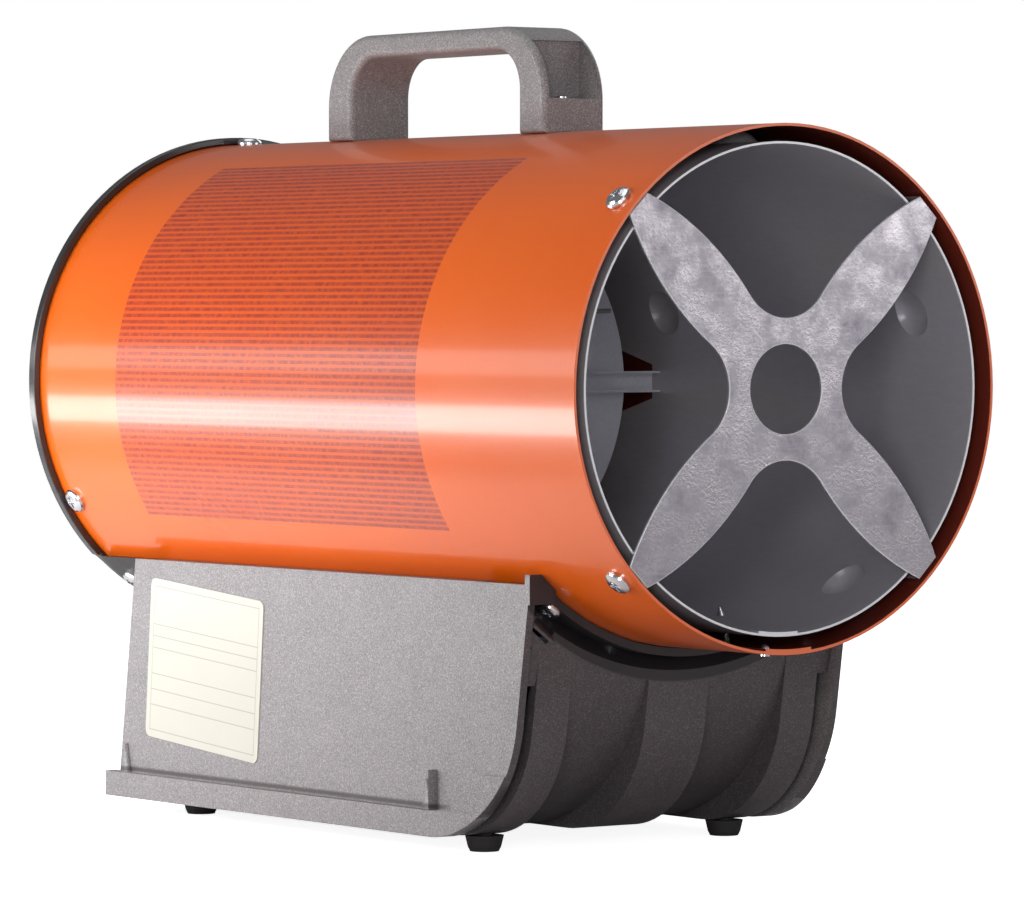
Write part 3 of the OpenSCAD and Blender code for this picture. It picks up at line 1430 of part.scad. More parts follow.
// Brass inlet: nipple outside, branch to the valve inside
module gas_inlet() {
  y_in = front_y + rear_panel_y - panel_t;
  branch_y = y_in - inlet_d;
  color([0.8, 0.65, 0.35]) difference() {
    union() {
      translate([control_x, branch_y - inlet_d / 2, lower_row_z]) lay_back()
        cylinder(h = inlet_d * 1.5 + panel_t + inlet_out, d = inlet_d);
      translate([control_x, y_in - locknut_len, lower_row_z]) lay_back()
        cylinder(h = panel_t + 2 * locknut_len + seat_gap, d = bulkhead_d);
      translate([control_x, y_in - locknut_len - seat_gap, lower_row_z]) lay_back()
        cylinder(h = locknut_len, d = locknut_d, $fn = 6);
      translate([valve_w / 2 + run_gap, branch_y, lower_row_z]) rotate([0, 90, 0])
        cylinder(h = control_x - valve_w / 2, d = pipe_d);
    }
    translate([control_x, branch_y, lower_row_z]) lay_back()
      cylinder(h = inlet_d * 2 + panel_t + inlet_out, d = inlet_bore_d);
  }
}

// Lock nut of the gas inlet, outside the panel
module inlet_nut() {
  color([0.78, 0.62, 0.32]) translate([control_x, front_y + rear_panel_y + run_gap, lower_row_z])
    lay_back() difference() {
      cylinder(h = locknut_len, d = locknut_d, $fn = 6);
      translate([0, 0, -overrun]) cylinder(h = locknut_len + 2 * overrun, d = bulkhead_d + 2 * run_gap);
    }
}

// Piezo igniter's body behind the panel
module piezo_body() {
  y1 = front_y + rear_panel_y - panel_t - seat_gap;
  color([0.85, 0.84, 0.8]) difference() {
    translate([control_x, y1 - piezo_len, upper_row_z]) lay_back() cylinder(h = piezo_len, d = piezo_d);
    translate([control_x, y1 - piezo_bore_depth, upper_row_z]) lay_back()
      cylinder(h = piezo_bore_depth + overrun, d = stem_d + 2 * stem_run);
  }
}

// Button of the piezo igniter
module piezo_button() {
  color([0.75, 0.1, 0.08]) push_button(control_x, piezo_button_d, piezo_button_travel,
    piezo_bore_y() + piezo_button_travel + 3 * spring_gap);
}

// Spring of the piezo button
module piezo_spring() {
  color([0.8, 0.8, 0.82]) coil_spring(control_x, piezo_bore_y(), piezo_button_travel + 3 * spring_gap - run_gap);
}

// Frame of the rocker switch, snapped into the panel
module switch_frame() {
  y_out = front_y + rear_panel_y;
  hole_w = switch_w - 2 * switch_flange - 2 * hole_gap;
  hole_h = switch_h - 2 * switch_flange - 2 * hole_gap;
  color([0.08, 0.08, 0.09]) translate([-control_x, 0, upper_row_z]) difference() {
    union() {
      translate([-switch_w / 2, y_out + run_gap, -switch_h / 2]) cube([switch_w, switch_flange, switch_h]);
      translate([-hole_w / 2, y_out - switch_depth, -hole_h / 2])
        cube([hole_w, switch_depth + overrun, hole_h]);
    }
    translate([-hole_w / 2 + switch_wall, y_out - switch_depth + switch_wall, -hole_h / 2 + switch_wall / 2])
      cube([hole_w - 2 * switch_wall, switch_depth + 2 * switch_wall, hole_h - switch_wall]);
  }
  color([0.7, 0.7, 0.72]) translate([-control_x - hole_w / 2 + switch_wall / 2, y_out, upper_row_z])
    rotate([0, 90, 0]) cylinder(h = hole_w - switch_wall, d = rocker_pin_d);
}

// Rocker, resting in its off position
module switch_rocker() {
  hole_w = switch_w - 2 * switch_flange - 2 * hole_gap - 2 * switch_wall;
  hole_h = switch_h - 2 * switch_flange - 2 * hole_gap - switch_wall;
  half = hole_h / 2 - rocker_gap;
  color([0.7, 0.08, 0.06]) translate([-control_x, front_y + rear_panel_y, upper_row_z])
    rotate([-rocker_tilt, 0, 0]) translate([-hole_w / 2 + seat_gap, 0, 0])
      rotate([90, 0, 90]) difference() {
        linear_extrude(hole_w - 2 * seat_gap)
          polygon([[-rocker_back, -half / 2], [0, -half], [rocker_rise, -half], [rocker_rise / 2, 0],
            [rocker_rise, half], [0, half], [-rocker_back, half / 2]]);
        translate([0, 0, -overrun]) cylinder(h = hole_w + 2 * overrun, d = rocker_pin_d + 2 * stem_run);
      }
}

// Gland for the mains cable
module cable_gland() {
  y_out = front_y + rear_panel_y;
  color([0.12, 0.12, 0.13]) translate([-control_x, 0, lower_row_z]) difference() {
    union() {
      translate([0, y_out - panel_t - locknut_len - 2 * seat_gap, 0]) lay_back()
        cylinder(h = panel_t + locknut_len + gland_hex_len, d = gland_d);
      translate([0, y_out + run_gap, 0]) lay_back()
        cylinder(h = gland_hex_len, d = gland_hex_d, $fn = 6);
      translate([0, y_out + gland_hex_len, 0]) lay_back()
        cylinder(h = gland_out - gland_hex_len, r1 = gland_d / 2, r2 = (gland_d + gland_bore_d) / 4);
    }
    translate([0, y_out - panel_t - locknut_len - overrun, 0]) lay_back()
      cylinder(h = panel_t + locknut_len + gland_out + 2 * overrun, d = gland_bore_d);
  }
}

// Nut inside the panel that holds the gland
module gland_nut() {
  color([0.14, 0.14, 0.15])
    translate([-control_x, front_y + rear_panel_y - panel_t - run_gap - locknut_len, lower_row_z])
      lay_back() difference() {
        cylinder(h = locknut_len, d = gland_hex_d + screw_head_h, $fn = 6);
        translate([0, 0, -overrun]) cylinder(h = locknut_len + 2 * overrun, d = gland_d + 2 * run_gap);
      }
}

// Terminal block on the shell's floor
module terminal_block() {
  floor_z = base_bottom_z + shell_t + run_gap;
  color([0.88, 0.86, 0.8]) difference() {
    translate([motor_lead_x() - block_w / 2, front_y + block_y - block_len / 2, floor_z])
      cube([block_w, block_len, block_h]);
    for (i = [-1:1]) translate([motor_lead_x(), front_y + block_y + i * block_len / 3.4, floor_z + block_h / 2])
      cylinder(h = block_h, d = block_w / 3);
  }
}

// Lead from the motor down to the terminal block
module motor_lead() {
  lead_x = motor_lead_x();
  start_z = axis_h - sqrt(motor_r * motor_r - lead_x * lead_x) - motor_lead_d / 3;
  end_z = base_bottom_z + shell_t + block_h / 2;
  color([0.15, 0.15, 0.16]) difference() {
    bent_rod([[lead_x, front_y + motor_lead_y(), start_z],
      [lead_x, front_y + motor_lead_y(), end_z],
      [lead_x, front_y + block_y + block_len / 2 + run_gap, end_z]], motor_lead_d, lead_bend_r);
    axis_rod(motor_r + run_gap, motor_len, motor_y);
  }
}

// Rubber bush where the motor lead leaves the drum
module lead_grommet() {
  color([0.1, 0.1, 0.1]) difference() {
    translate([motor_lead_x(), front_y + motor_lead_y(), axis_h - drum_r - 2 * lead_grommet_t]) {
      cylinder(h = drum_r / 4 - 2 * lead_grommet_t, d = motor_lead_d + 4 * lead_grommet_t - hole_gap);
    }
    translate([motor_lead_x(), front_y + motor_lead_y(), 0])
      cylinder(h = axis_h, d = motor_lead_d + hole_gap);
    axis_rod(drum_in_r - 2 * lead_grommet_t, total_len, 0);
    difference() {
      axis_rod(drum_r + drum_d, total_len, 0);
      axis_rod(drum_r + 2 * lead_grommet_t, total_len, 0);
    }
  }
}

drum_shell();
drum_rivets();
combustion_liner();
liner_screws();
outlet_cross();
front_screws();
burner_disc();
flame_bar();
burner_cup();
gas_injector();
gas_pipe();
pipe_nuts();
ignition_electrode();
electrode_insulator();
ignition_lead();
thermocouple();
limit_thermostat();
fan_impeller();
fan_nut();
motor_shaft();
motor_rotor();
motor_can();
motor_stator();
motor_end_cap();
motor_bearings();
motor_bracket();
motor_screws();
rear_screws();
rear_ring();
rear_guard();
carry_handle();
handle_screws();
base_shell();
left_cover();
right_cover();
rear_panel();
saddle_screws();
base_screws();
rubber_feet();
rating_plate();
gas_valve();
gas_button();
gas_button_spring();
output_knob();
gas_inlet();
inlet_nut();
piezo_body();
piezo_button();
piezo_spring();
switch_frame();
switch_rocker();
cable_gland();
gland_nut();
terminal_block();
motor_lead();
lead_grommet();
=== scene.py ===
import bpy
import math
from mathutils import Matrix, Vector


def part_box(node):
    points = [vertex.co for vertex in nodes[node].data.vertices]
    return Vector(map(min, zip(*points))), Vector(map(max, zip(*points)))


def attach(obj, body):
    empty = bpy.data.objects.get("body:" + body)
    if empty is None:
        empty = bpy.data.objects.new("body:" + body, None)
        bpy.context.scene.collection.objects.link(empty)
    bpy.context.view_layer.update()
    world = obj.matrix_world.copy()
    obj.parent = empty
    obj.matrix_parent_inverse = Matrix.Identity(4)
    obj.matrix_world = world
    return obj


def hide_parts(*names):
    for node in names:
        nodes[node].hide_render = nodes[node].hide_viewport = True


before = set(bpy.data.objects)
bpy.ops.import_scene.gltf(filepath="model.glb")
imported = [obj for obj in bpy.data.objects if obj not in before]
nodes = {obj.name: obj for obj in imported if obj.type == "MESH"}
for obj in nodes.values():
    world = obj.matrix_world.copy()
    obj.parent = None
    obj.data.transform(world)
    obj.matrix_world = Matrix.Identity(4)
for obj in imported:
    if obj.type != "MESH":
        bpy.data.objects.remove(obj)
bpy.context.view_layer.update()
bpy.ops.object.select_all(action="DESELECT")

# ---- camera ----
# The photograph was taken with a long lens from the left front, almost level with the drum's axis.
# The camera stands some 2.2 m away.
bpy.ops.object.camera_add(location=(-1.2487, -1.7661, 0.1953),
                          rotation=(math.radians(88.48), 0, math.radians(-35.44)))
camera = bpy.context.object
camera.data.lens = 204.2
camera.data.sensor_width = 36
camera.data.clip_start = 0.05
bpy.context.scene.camera = camera
bpy.context.scene.view_settings.view_transform = "Standard"

# ---- studio ----
# A white sweep with a soft key on the left, a low strip that draws the streak on the drum, weak lights
# from the top and the right, and two that open up the outlet. The floor keeps a faint shadow.
sky_strength = 0.17
floor_glow_strength = 0.9


def area_lamp(name, place, aim, size, size_y, power):
    bpy.ops.object.light_add(type="AREA", location=place)
    lamp = bpy.context.object
    lamp.name = name
    lamp.data.shape = "RECTANGLE"
    lamp.data.size = size
    lamp.data.size_y = size_y
    lamp.data.energy = power
    lamp.rotation_euler = (Vector(aim) - Vector(place)).to_track_quat("-Z", "Y").to_euler()
    lamp.visible_camera = False


area_lamp("key_left", (-1.5, 0.62, 0.50), (0, 0, 0.12), 0.8, 0.7, 11)
area_lamp("low_strip", (-0.27, 0.30, 0.107), (0, 0.30, 0.107), 0.62, 0.052, 0.85)
area_lamp("soft_strip", (-0.30, 0.30, 0.215), (0, 0.30, 0.19), 0.62, 0.05, 0.22)
area_lamp("top_soft", (-0.1, 0.1, 1.5), (0, 0, 0.1), 1.4, 1.0, 6)
area_lamp("front_fill", (-0.5, -2.0, 0.7), (0, 0, 0.15), 0.9, 0.9, 3.5)
area_lamp("outlet_light", (-1.32, -1.5, 0.3), (0.05, -0.12, 0.17), 0.5, 0.5, 8)
area_lamp("right_fill", (1.4, 0.8, 0.8), (0, 0, 0.12), 0.8, 0.8, 4.5)
area_lamp("cross_light", (1.3, -1.5, 0.5), (0, -0.15, 0.17), 0.9, 0.7, 3.4)

world = bpy.data.worlds.new("studio_sky")
bpy.context.scene.world = world
world.use_nodes = True
sky = world.node_tree.nodes
sky_links = world.node_tree.links
sky.clear()
sky_out = sky.new("ShaderNodeOutputWorld")
sky_mix = sky.new("ShaderNodeMixShader")
sky_light = sky.new("ShaderNodeBackground")
sky_light.inputs["Color"].default_value = (0.95, 0.96, 1, 1)
sky_light.inputs["Strength"].default_value = sky_strength
sky_seen = sky.new("ShaderNodeBackground")
sky_seen.inputs["Color"].default_value = (1, 1, 1, 1)
sky_seen.inputs["Strength"].default_value = 1.0
sky_path = sky.new("ShaderNodeLightPath")
sky_links.new(sky_path.outputs["Is Camera Ray"], sky_mix.inputs["Fac"])
sky_links.new(sky_light.outputs["Background"], sky_mix.inputs[1])
sky_links.new(sky_seen.outputs["Background"], sky_mix.inputs[2])
sky_links.new(sky_mix.outputs["Shader"], sky_out.inputs["Surface"])

bpy.ops.mesh.primitive_plane_add(size=12, location=(0, 0, 0))
floor = bpy.context.object
floor.name = "studio_floor"
floor_paint = bpy.data.materials.new("studio_floor")
floor_paint.use_nodes = True
floor_tree = floor_paint.node_tree
floor_shader = floor_tree.nodes["Principled BSDF"]
floor_shader.inputs["Base Color"].default_value = (0.85, 0.85, 0.85, 1)
floor_shader.inputs["Roughness"].default_value = 0.9
floor_shader.inputs["Specular IOR Level"].default_value = 0.0
floor_glow = floor_tree.nodes.new("ShaderNodeEmission")
floor_glow.inputs["Color"].default_value = (1, 1, 1, 1)
floor_seen = floor_tree.nodes.new("ShaderNodeLightPath")
floor_share = floor_tree.nodes.new("ShaderNodeMath")
floor_share.operation = "MULTIPLY"
floor_share.inputs[1].default_value = floor_glow_strength
floor_add = floor_tree.nodes.new("ShaderNodeAddShader")
floor_tree.links.new(floor_seen.outputs["Is Camera Ray"], floor_share.inputs[0])
floor_tree.links.new(floor_share.outputs[0], floor_glow.inputs["Strength"])
floor_tree.links.new(floor_shader.outputs["BSDF"], floor_add.inputs[0])
floor_tree.links.new(floor_glow.outputs["Emission"], floor_add.inputs[1])
floor_tree.links.new(floor_add.outputs["Shader"], floor_tree.nodes["Material Output"].inputs["Surface"])
floor.data.materials.append(floor_paint)

# ---- drum ----
# Rolled steel sheet, powder coated orange with a slight orange peel. A block of fine dark red rules
# is printed on its left side. The inside is painted dark red brown as painted shade in the narrow gap behind
# the liner, and the front rim is painted a paler orange as a painted highlight.
drum_radius = 0.0925
drum_inner_radius = 0.0915
drum_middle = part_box("drum_shell")[0].z + drum_radius
drum_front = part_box("drum_shell")[0].y
rule_pitch = 0.00245
block_start, block_end = drum_front + 0.095, drum_front + 0.2955
block_low, block_high = math.radians(-33), math.radians(62)


def math_node(tree, kind, a, b=None, c=None):
    made = tree.nodes.new("ShaderNodeMath")
    made.operation = kind
    for i, value in enumerate((a, b, c)):
        if value is None:
            continue
        if isinstance(value, (int, float)):
            made.inputs[i].default_value = value
        else:
            tree.links.new(value, made.inputs[i])
    return made.outputs[0]


def times(tree, a, b):
    return math_node(tree, "MULTIPLY", a, b)


def distance(tree, a, b):
    """The distance of a point from an axis, from its two offsets."""
    return math_node(tree, "SQRT", math_node(tree, "ADD", times(tree, a, a), times(tree, b, b)))


def ramp(tree, value, low, high, to_low=0.0, to_high=1.0):
    made = tree.nodes.new("ShaderNodeMapRange")
    made.inputs["From Min"].default_value = low
    made.inputs["From Max"].default_value = high
    made.inputs["To Min"].default_value = to_low
    made.inputs["To Max"].default_value = to_high
    tree.links.new(value, made.inputs["Value"])
    return made.outputs["Result"]


def noise_value(tree, vector, scale, detail, rough):
    made = tree.nodes.new("ShaderNodeTexNoise")
    if isinstance(scale, (int, float)):
        made.inputs["Scale"].default_value = scale
    else:
        tree.links.new(scale, made.inputs["Scale"])
    made.inputs["Detail"].default_value = detail
    made.inputs["Roughness"].default_value = rough
    tree.links.new(vector, made.inputs["Vector"])
    return made.outputs["Fac"]


def color_mix(tree, fac, a, b):
    made = tree.nodes.new("ShaderNodeMix")
    made.data_type = "RGBA"
    made.clamp_factor = True
    tree.links.new(fac, made.inputs[0])
    for socket, value in ((made.inputs[6], a), (made.inputs[7], b)):
        if isinstance(value, tuple):
            socket.default_value = (*value, 1)
        else:
            tree.links.new(value, socket)
    return made.outputs[2]


def node_group(name, inputs, outputs):
    """An empty shader node group with named sockets; returns tree, input node, output node."""
    tree = bpy.data.node_groups.new(name, "ShaderNodeTree")
    for socket_name, kind in inputs:
        tree.interface.new_socket(name=socket_name, in_out="INPUT", socket_type=kind)
    for socket_name, kind in outputs:
        tree.interface.new_socket(name=socket_name, in_out="OUTPUT", socket_type=kind)
    return tree, tree.nodes.new("NodeGroupInput"), tree.nodes.new("NodeGroupOutput")


# cloudy tone, fine grain and uneven gloss, used by every finish
grain_tree, grain_in, grain_out = node_group(
    "tone_and_grain",
    [("Vector", "NodeSocketVector"), ("Color", "NodeSocketColor"), ("Second Color", "NodeSocketColor"),
     ("Cloud Scale", "NodeSocketFloat"), ("Cloud Amount", "NodeSocketFloat"),
     ("Grain Scale", "NodeSocketFloat"), ("Grain Amount", "NodeSocketFloat"),
     ("Roughness", "NodeSocketFloat"), ("Roughness Spread", "NodeSocketFloat")],
    [("Color", "NodeSocketColor"), ("Roughness", "NodeSocketFloat"), ("Height", "NodeSocketFloat")])
given = grain_in.outputs
cloud = noise_value(grain_tree, given["Vector"], given["Cloud Scale"], 4.0, 0.6)
cloud_wide = ramp(grain_tree, cloud, 0.3, 0.7)
cloud_offset = math_node(grain_tree, "SUBTRACT", cloud_wide, 0.5)
grain = noise_value(grain_tree, given["Vector"], given["Grain Scale"], 2.0, 0.6)
grain_offset = math_node(grain_tree, "SUBTRACT", ramp(grain_tree, grain, 0.25, 0.75), 0.5)
cloud_share = times(grain_tree, cloud_wide, given["Cloud Amount"])
toned = color_mix(grain_tree, cloud_share, given["Color"], given["Second Color"])
grain_level = math_node(grain_tree, "MULTIPLY_ADD", grain_offset, given["Grain Amount"], 1.0)
grain_gloss = math_node(grain_tree, "MULTIPLY_ADD", cloud_offset,
                        given["Roughness Spread"], given["Roughness"])
grain_color = grain_tree.nodes.new("ShaderNodeVectorMath")
grain_color.operation = "SCALE"
grain_tree.links.new(toned, grain_color.inputs[0])
grain_tree.links.new(grain_level, grain_color.inputs["Scale"])
grain_tree.links.new(grain_color.outputs["Vector"], grain_out.inputs["Color"])
grain_tree.links.new(grain_gloss, grain_out.inputs["Roughness"])
grain_tree.links.new(grain, grain_out.inputs["Height"])


def finish_material(name, color, second, metallic, rough, cloud, grain, bump, stretch=(1, 1, 1)):
    """A material whose colour, gloss and bump come from the tone_and_grain group.

    rough is the roughness and its spread; cloud and grain are a scale and an amount each.
    """
    made = bpy.data.materials.new(name)
    made.use_nodes = True
    tree = made.node_tree
    shader = tree.nodes["Principled BSDF"]
    shader.inputs["Metallic"].default_value = metallic
    coords = tree.nodes.new("ShaderNodeTexCoord")
    placed = tree.nodes.new("ShaderNodeMapping")
    placed.inputs["Scale"].default_value = stretch
    tree.links.new(coords.outputs["Object"], placed.inputs["Vector"])
    group = tree.nodes.new("ShaderNodeGroup")
    group.node_tree = grain_tree
    tree.links.new(placed.outputs["Vector"], group.inputs["Vector"])
    group.inputs["Color"].default_value = (*color, 1)
    group.inputs["Second Color"].default_value = (*second, 1)
    for socket, value in (("Roughness", rough[0]), ("Roughness Spread", rough[1]),
                          ("Cloud Scale", cloud[0]), ("Cloud Amount", cloud[1]),
                          ("Grain Scale", grain[0]), ("Grain Amount", grain[1])):
        group.inputs[socket].default_value = value
    tree.links.new(group.outputs["Color"], shader.inputs["Base Color"])
    tree.links.new(group.outputs["Roughness"], shader.inputs["Roughness"])
    relief = tree.nodes.new("ShaderNodeBump")
    relief.inputs["Strength"].default_value = bump
    relief.inputs["Distance"].default_value = 0.0004
    tree.links.new(group.outputs["Height"], relief.inputs["Height"])
    tree.links.new(relief.outputs["Normal"], shader.inputs["Normal"])
    return made


def only_material(piece, material):
    piece.data.materials.clear()
    piece.data.materials.append(material)


def set_node_material(node, material):
    only_material(nodes[node], material)


def grain_color_of(material):
    """The toned and grained colour inside a finish, before anything is laid over it."""
    return next(n for n in material.node_tree.nodes if n.type == "GROUP").outputs["Color"]


def lay_over(material, fac, under, over):
    """Base colour of a material: over on top of under where fac is 1."""
    tree = material.node_tree
    tree.links.new(color_mix(tree, fac, under, over), tree.nodes["Principled BSDF"].inputs["Base Color"])


def object_axes(tree):
    coords = tree.nodes.new("ShaderNodeTexCoord")
    split = tree.nodes.new("ShaderNodeSeparateXYZ")
    tree.links.new(coords.outputs["Object"], split.inputs[0])
    return coords.outputs["Object"], split.outputs["X"], split.outputs["Y"], split.outputs["Z"]


def band(tree, value, low, high, soft):
    """1 between low and high, fading over soft."""
    return times(tree, ramp(tree, value, low - soft, low), ramp(tree, value, high, high + soft, 1.0, 0.0))


drum_paint = finish_material("drum_orange", (0.74, 0.108, 0.004), (0.79, 0.138, 0.005), metallic=0.0,
                             rough=(0.3, 0.06), cloud=(9.0, 0.6), grain=(1300.0, 0.05), bump=0.10)
drum_tree = drum_paint.node_tree
drum_shader = drum_tree.nodes["Principled BSDF"]
drum_shader.inputs["Coat Weight"].default_value = 0.45
drum_shader.inputs["Coat Roughness"].default_value = 0.1
drum_at, drum_x, drum_y, drum_z = object_axes(drum_tree)
drum_up = math_node(drum_tree, "SUBTRACT", drum_z, drum_middle)
drum_angle = math_node(drum_tree, "ARCTAN2", drum_up, times(drum_tree, drum_x, -1.0))
drum_reach = distance(drum_tree, drum_x, drum_up)
outside = ramp(drum_tree, drum_reach, drum_inner_radius + 0.0004, drum_inner_radius + 0.0008)
rule_phase = math_node(drum_tree, "FRACT", times(drum_tree, drum_angle, drum_radius / rule_pitch))
rule_line = band(drum_tree, rule_phase, 0.26, 0.68, 0.14)
rule_wear = ramp(drum_tree, noise_value(drum_tree, drum_at, 420.0, 3.0, 0.7), 0.34, 0.62, 0.35, 1.0)
rule_dark = times(drum_tree, rule_line, rule_wear)
block_area = times(drum_tree, band(drum_tree, drum_y, block_start, block_end, 0.0004),
                   band(drum_tree, drum_angle, block_low, block_high, 0.004))
block_print = times(drum_tree, block_area, outside)
block_tint = color_mix(drum_tree, times(drum_tree, block_print, 0.34),
                       grain_color_of(drum_paint), (0.42, 0.035, 0.02))
block_ruled = color_mix(drum_tree, times(drum_tree, times(drum_tree, rule_dark, block_print), 0.88),
                        block_tint, (0.26, 0.02, 0.014))
# painted shade: the inside of the drum is painted dark red brown, for the shade in the gap between drum and
# liner
drum_ruled_inside_shaded = color_mix(drum_tree, outside, (0.16, 0.022, 0.012), block_ruled)
# painted highlight: the front rim is painted a paler orange
drum_rim_highlight = ramp(drum_tree, drum_y, drum_front + 0.0001, drum_front + 0.0003, 1.0, 0.0)
lay_over(drum_paint, drum_rim_highlight, drum_ruled_inside_shaded, (0.86, 0.17, 0.055))
set_node_material("drum_shell", drum_paint)

# ---- screws and rivets ----
# Zinc plated steel, cold formed, bright with fine wipe marks from the plating. The springs behind the
# buttons and the fan's nut are plated the same way.
zinc = finish_material("zinc_plate", (0.80, 0.80, 0.82), (0.62, 0.62, 0.66), metallic=1.0,
                       rough=(0.2, 0.12), cloud=(180.0, 0.5), grain=(1600.0, 0.06), bump=0.12)
for plated in ("drum_rivets", "liner_screws", "front_screws", "rear_screws", "saddle_screws", "handle_screws",
               "base_screws", "motor_screws", "fan_nut", "gas_button_spring", "piezo_spring"):
    set_node_material(plated, zinc)

# ---- combustion liner ----
# Rolled stainless sheet, darkened by heat to slate grey with brown patches. Its front edge is painted
# near white as a painted highlight; it is screwed into the drum and stands off it on pressed dimples.
liner_metal = finish_material("heat_dark_steel", (0.46, 0.45, 0.50), (0.48, 0.43, 0.42), metallic=0.25,
                              rough=(0.36, 0.16), cloud=(16.0, 0.55), grain=(700.0, 0.10), bump=0.12,
                              stretch=(1, 0.25, 1))
liner_tree = liner_metal.node_tree
liner_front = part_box("combustion_liner")[0].y
liner_y = object_axes(liner_tree)[2]
# painted highlight: a near white line along the liner's front edge
liner_edge_highlight = ramp(liner_tree, liner_y, liner_front + 0.0002, liner_front + 0.0006, 1.0, 0.0)
lay_over(liner_metal, liner_edge_highlight, grain_color_of(liner_metal), (0.85, 0.85, 0.88))
set_node_material("combustion_liner", liner_metal)

# ---- outlet cross and burner sheet parts ----
# Galvanised sheet, punched and bent, with zinc spangle and scuffs; its edges are painted near white as a
# painted highlight. The cross is screwed to the drum by the tabs at its tips; the burner's disc and flame bar
# are plain pale sheet.
cross_metal = finish_material("galvanised_sheet", (0.60, 0.56, 0.60), (0.21, 0.19, 0.24), metallic=0.78,
                              rough=(0.27, 0.22), cloud=(75.0, 0.75), grain=(800.0, 0.16), bump=0.14)
cross_tree = cross_metal.node_tree
cross_side = cross_tree.nodes.new("ShaderNodeNewGeometry")
cross_facing = cross_tree.nodes.new("ShaderNodeSeparateXYZ")
cross_tree.links.new(cross_side.outputs["True Normal"], cross_facing.inputs[0])
cross_front_share = math_node(cross_tree, "ABSOLUTE", cross_facing.outputs["Y"])
# painted highlight: faces that face neither front nor back, the sheet's edges, are painted near white
cross_edge_highlight = ramp(cross_tree, cross_front_share, 0.2, 0.7, 1.0, 0.0)
scuff_place = cross_tree.nodes.new("ShaderNodeMapping")
scuff_place.inputs["Rotation"].default_value = (0, math.radians(38), 0)
scuff_place.inputs["Scale"].default_value = (40, 1, 900)
cross_tree.links.new(object_axes(cross_tree)[0], scuff_place.inputs["Vector"])
scuffs = ramp(cross_tree, noise_value(cross_tree, scuff_place.outputs["Vector"], 1.0, 3.0, 0.65), 0.58, 0.75)
cross_scuffed = color_mix(cross_tree, times(cross_tree, scuffs, 0.55),
                          grain_color_of(cross_metal), (0.62, 0.60, 0.64))
lay_over(cross_metal, cross_edge_highlight, cross_scuffed, (0.82, 0.82, 0.85))
for sheet_part in ("burner_cup", "motor_bracket", "limit_thermostat"):
    set_node_material(sheet_part, cross_metal)
burner_sheet = finish_material("burner_sheet", (0.74, 0.75, 0.82), (0.62, 0.61, 0.66), metallic=0.2,
                               rough=(0.42, 0.1), cloud=(60.0, 0.5), grain=(900.0, 0.12), bump=0.12)
for sheet_part in ("burner_disc", "flame_bar"):
    set_node_material(sheet_part, burner_sheet)


def refined_copy(node, name, width, segments, keep_edge, rim_slot=-1):
    """A merged copy of a CAD node whose chosen edges are rounded; the copy stands for the node.

    With rim_slot the rounding gets a material slot of its own, and the faces keep their own normals.
    """
    bpy.ops.object.select_all(action="DESELECT")
    piece = bpy.data.objects.new(name, nodes[node].data.copy())
    if rim_slot > 0:
        piece.data.materials.append(None)
    bpy.context.scene.collection.objects.link(piece)
    bpy.context.view_layer.objects.active = piece
    piece.select_set(True)
    bpy.ops.object.mode_set(mode="EDIT")
    bpy.ops.mesh.select_all(action="SELECT")
    bpy.ops.mesh.remove_doubles(threshold=0.000002)
    bpy.ops.mesh.dissolve_limited(angle_limit=math.radians(0.6))
    bpy.ops.object.mode_set(mode="OBJECT")
    mesh = piece.data
    normals = {}
    for face in mesh.polygons:
        for key in face.edge_keys:
            normals.setdefault(key, []).append(face.normal)
    weights = mesh.attributes.new("bevel_weight_edge", "FLOAT", "EDGE")
    for edge in mesh.edges:
        sides = normals.get(tuple(sorted(edge.vertices)), [])
        a, b = (mesh.vertices[i].co for i in edge.vertices)
        if len(sides) == 2 and sides[0].angle(sides[1], 0) > math.radians(30) and keep_edge(a, b):
            weights.data[edge.index].value = 1.0
    rounding = piece.modifiers.new("rounding", "BEVEL")
    rounding.limit_method = "WEIGHT"
    rounding.width = width
    rounding.segments = segments
    rounding.use_clamp_overlap = rim_slot < 0
    rounding.material = rim_slot
    rounding.miter_outer = "MITER_ARC"
    bpy.ops.object.modifier_apply(modifier="rounding")
    bpy.ops.object.shade_smooth_by_angle(angle=math.radians(32))
    if rim_slot < 0:
        even = piece.modifiers.new("even_normals", "WEIGHTED_NORMAL")
        even.keep_sharp = True
        bpy.ops.object.modifier_apply(modifier="even_normals")
    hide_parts(node)
    return piece


# painted highlight: a near white finish for the cross's rounded front edges
painted_edge_highlight = finish_material("painted_edge_highlight", (0.90, 0.89, 0.92), (0.80, 0.79, 0.82), metallic=0.3,
                               rough=(0.3, 0.06), cloud=(60.0, 0.3), grain=(900.0, 0.2), bump=0.1)
cross_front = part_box("outlet_cross")[0].y
cross = refined_copy("outlet_cross", "cross_guard", 0.00035, 2,
                     lambda a, b: (a - b).length > 0.0003 and max(a.y, b.y) < cross_front + 0.0001,
                     rim_slot=1)
bpy.ops.object.shade_flat()
cross.data.materials[0] = cross_metal
cross.data.materials[1] = painted_edge_highlight
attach(cross, "housing")

# ---- handle ----
# Moulded in grey textured plastic, hollow legs with deep pockets, soft rounded edges; screwed on
# from inside the drum.
moulded_grey = finish_material("moulded_grey", (0.24, 0.225, 0.228), (0.19, 0.178, 0.18), metallic=0.0,
                               rough=(0.42, 0.1), cloud=(60.0, 0.4), grain=(3000.0, 0.5), bump=0.3)


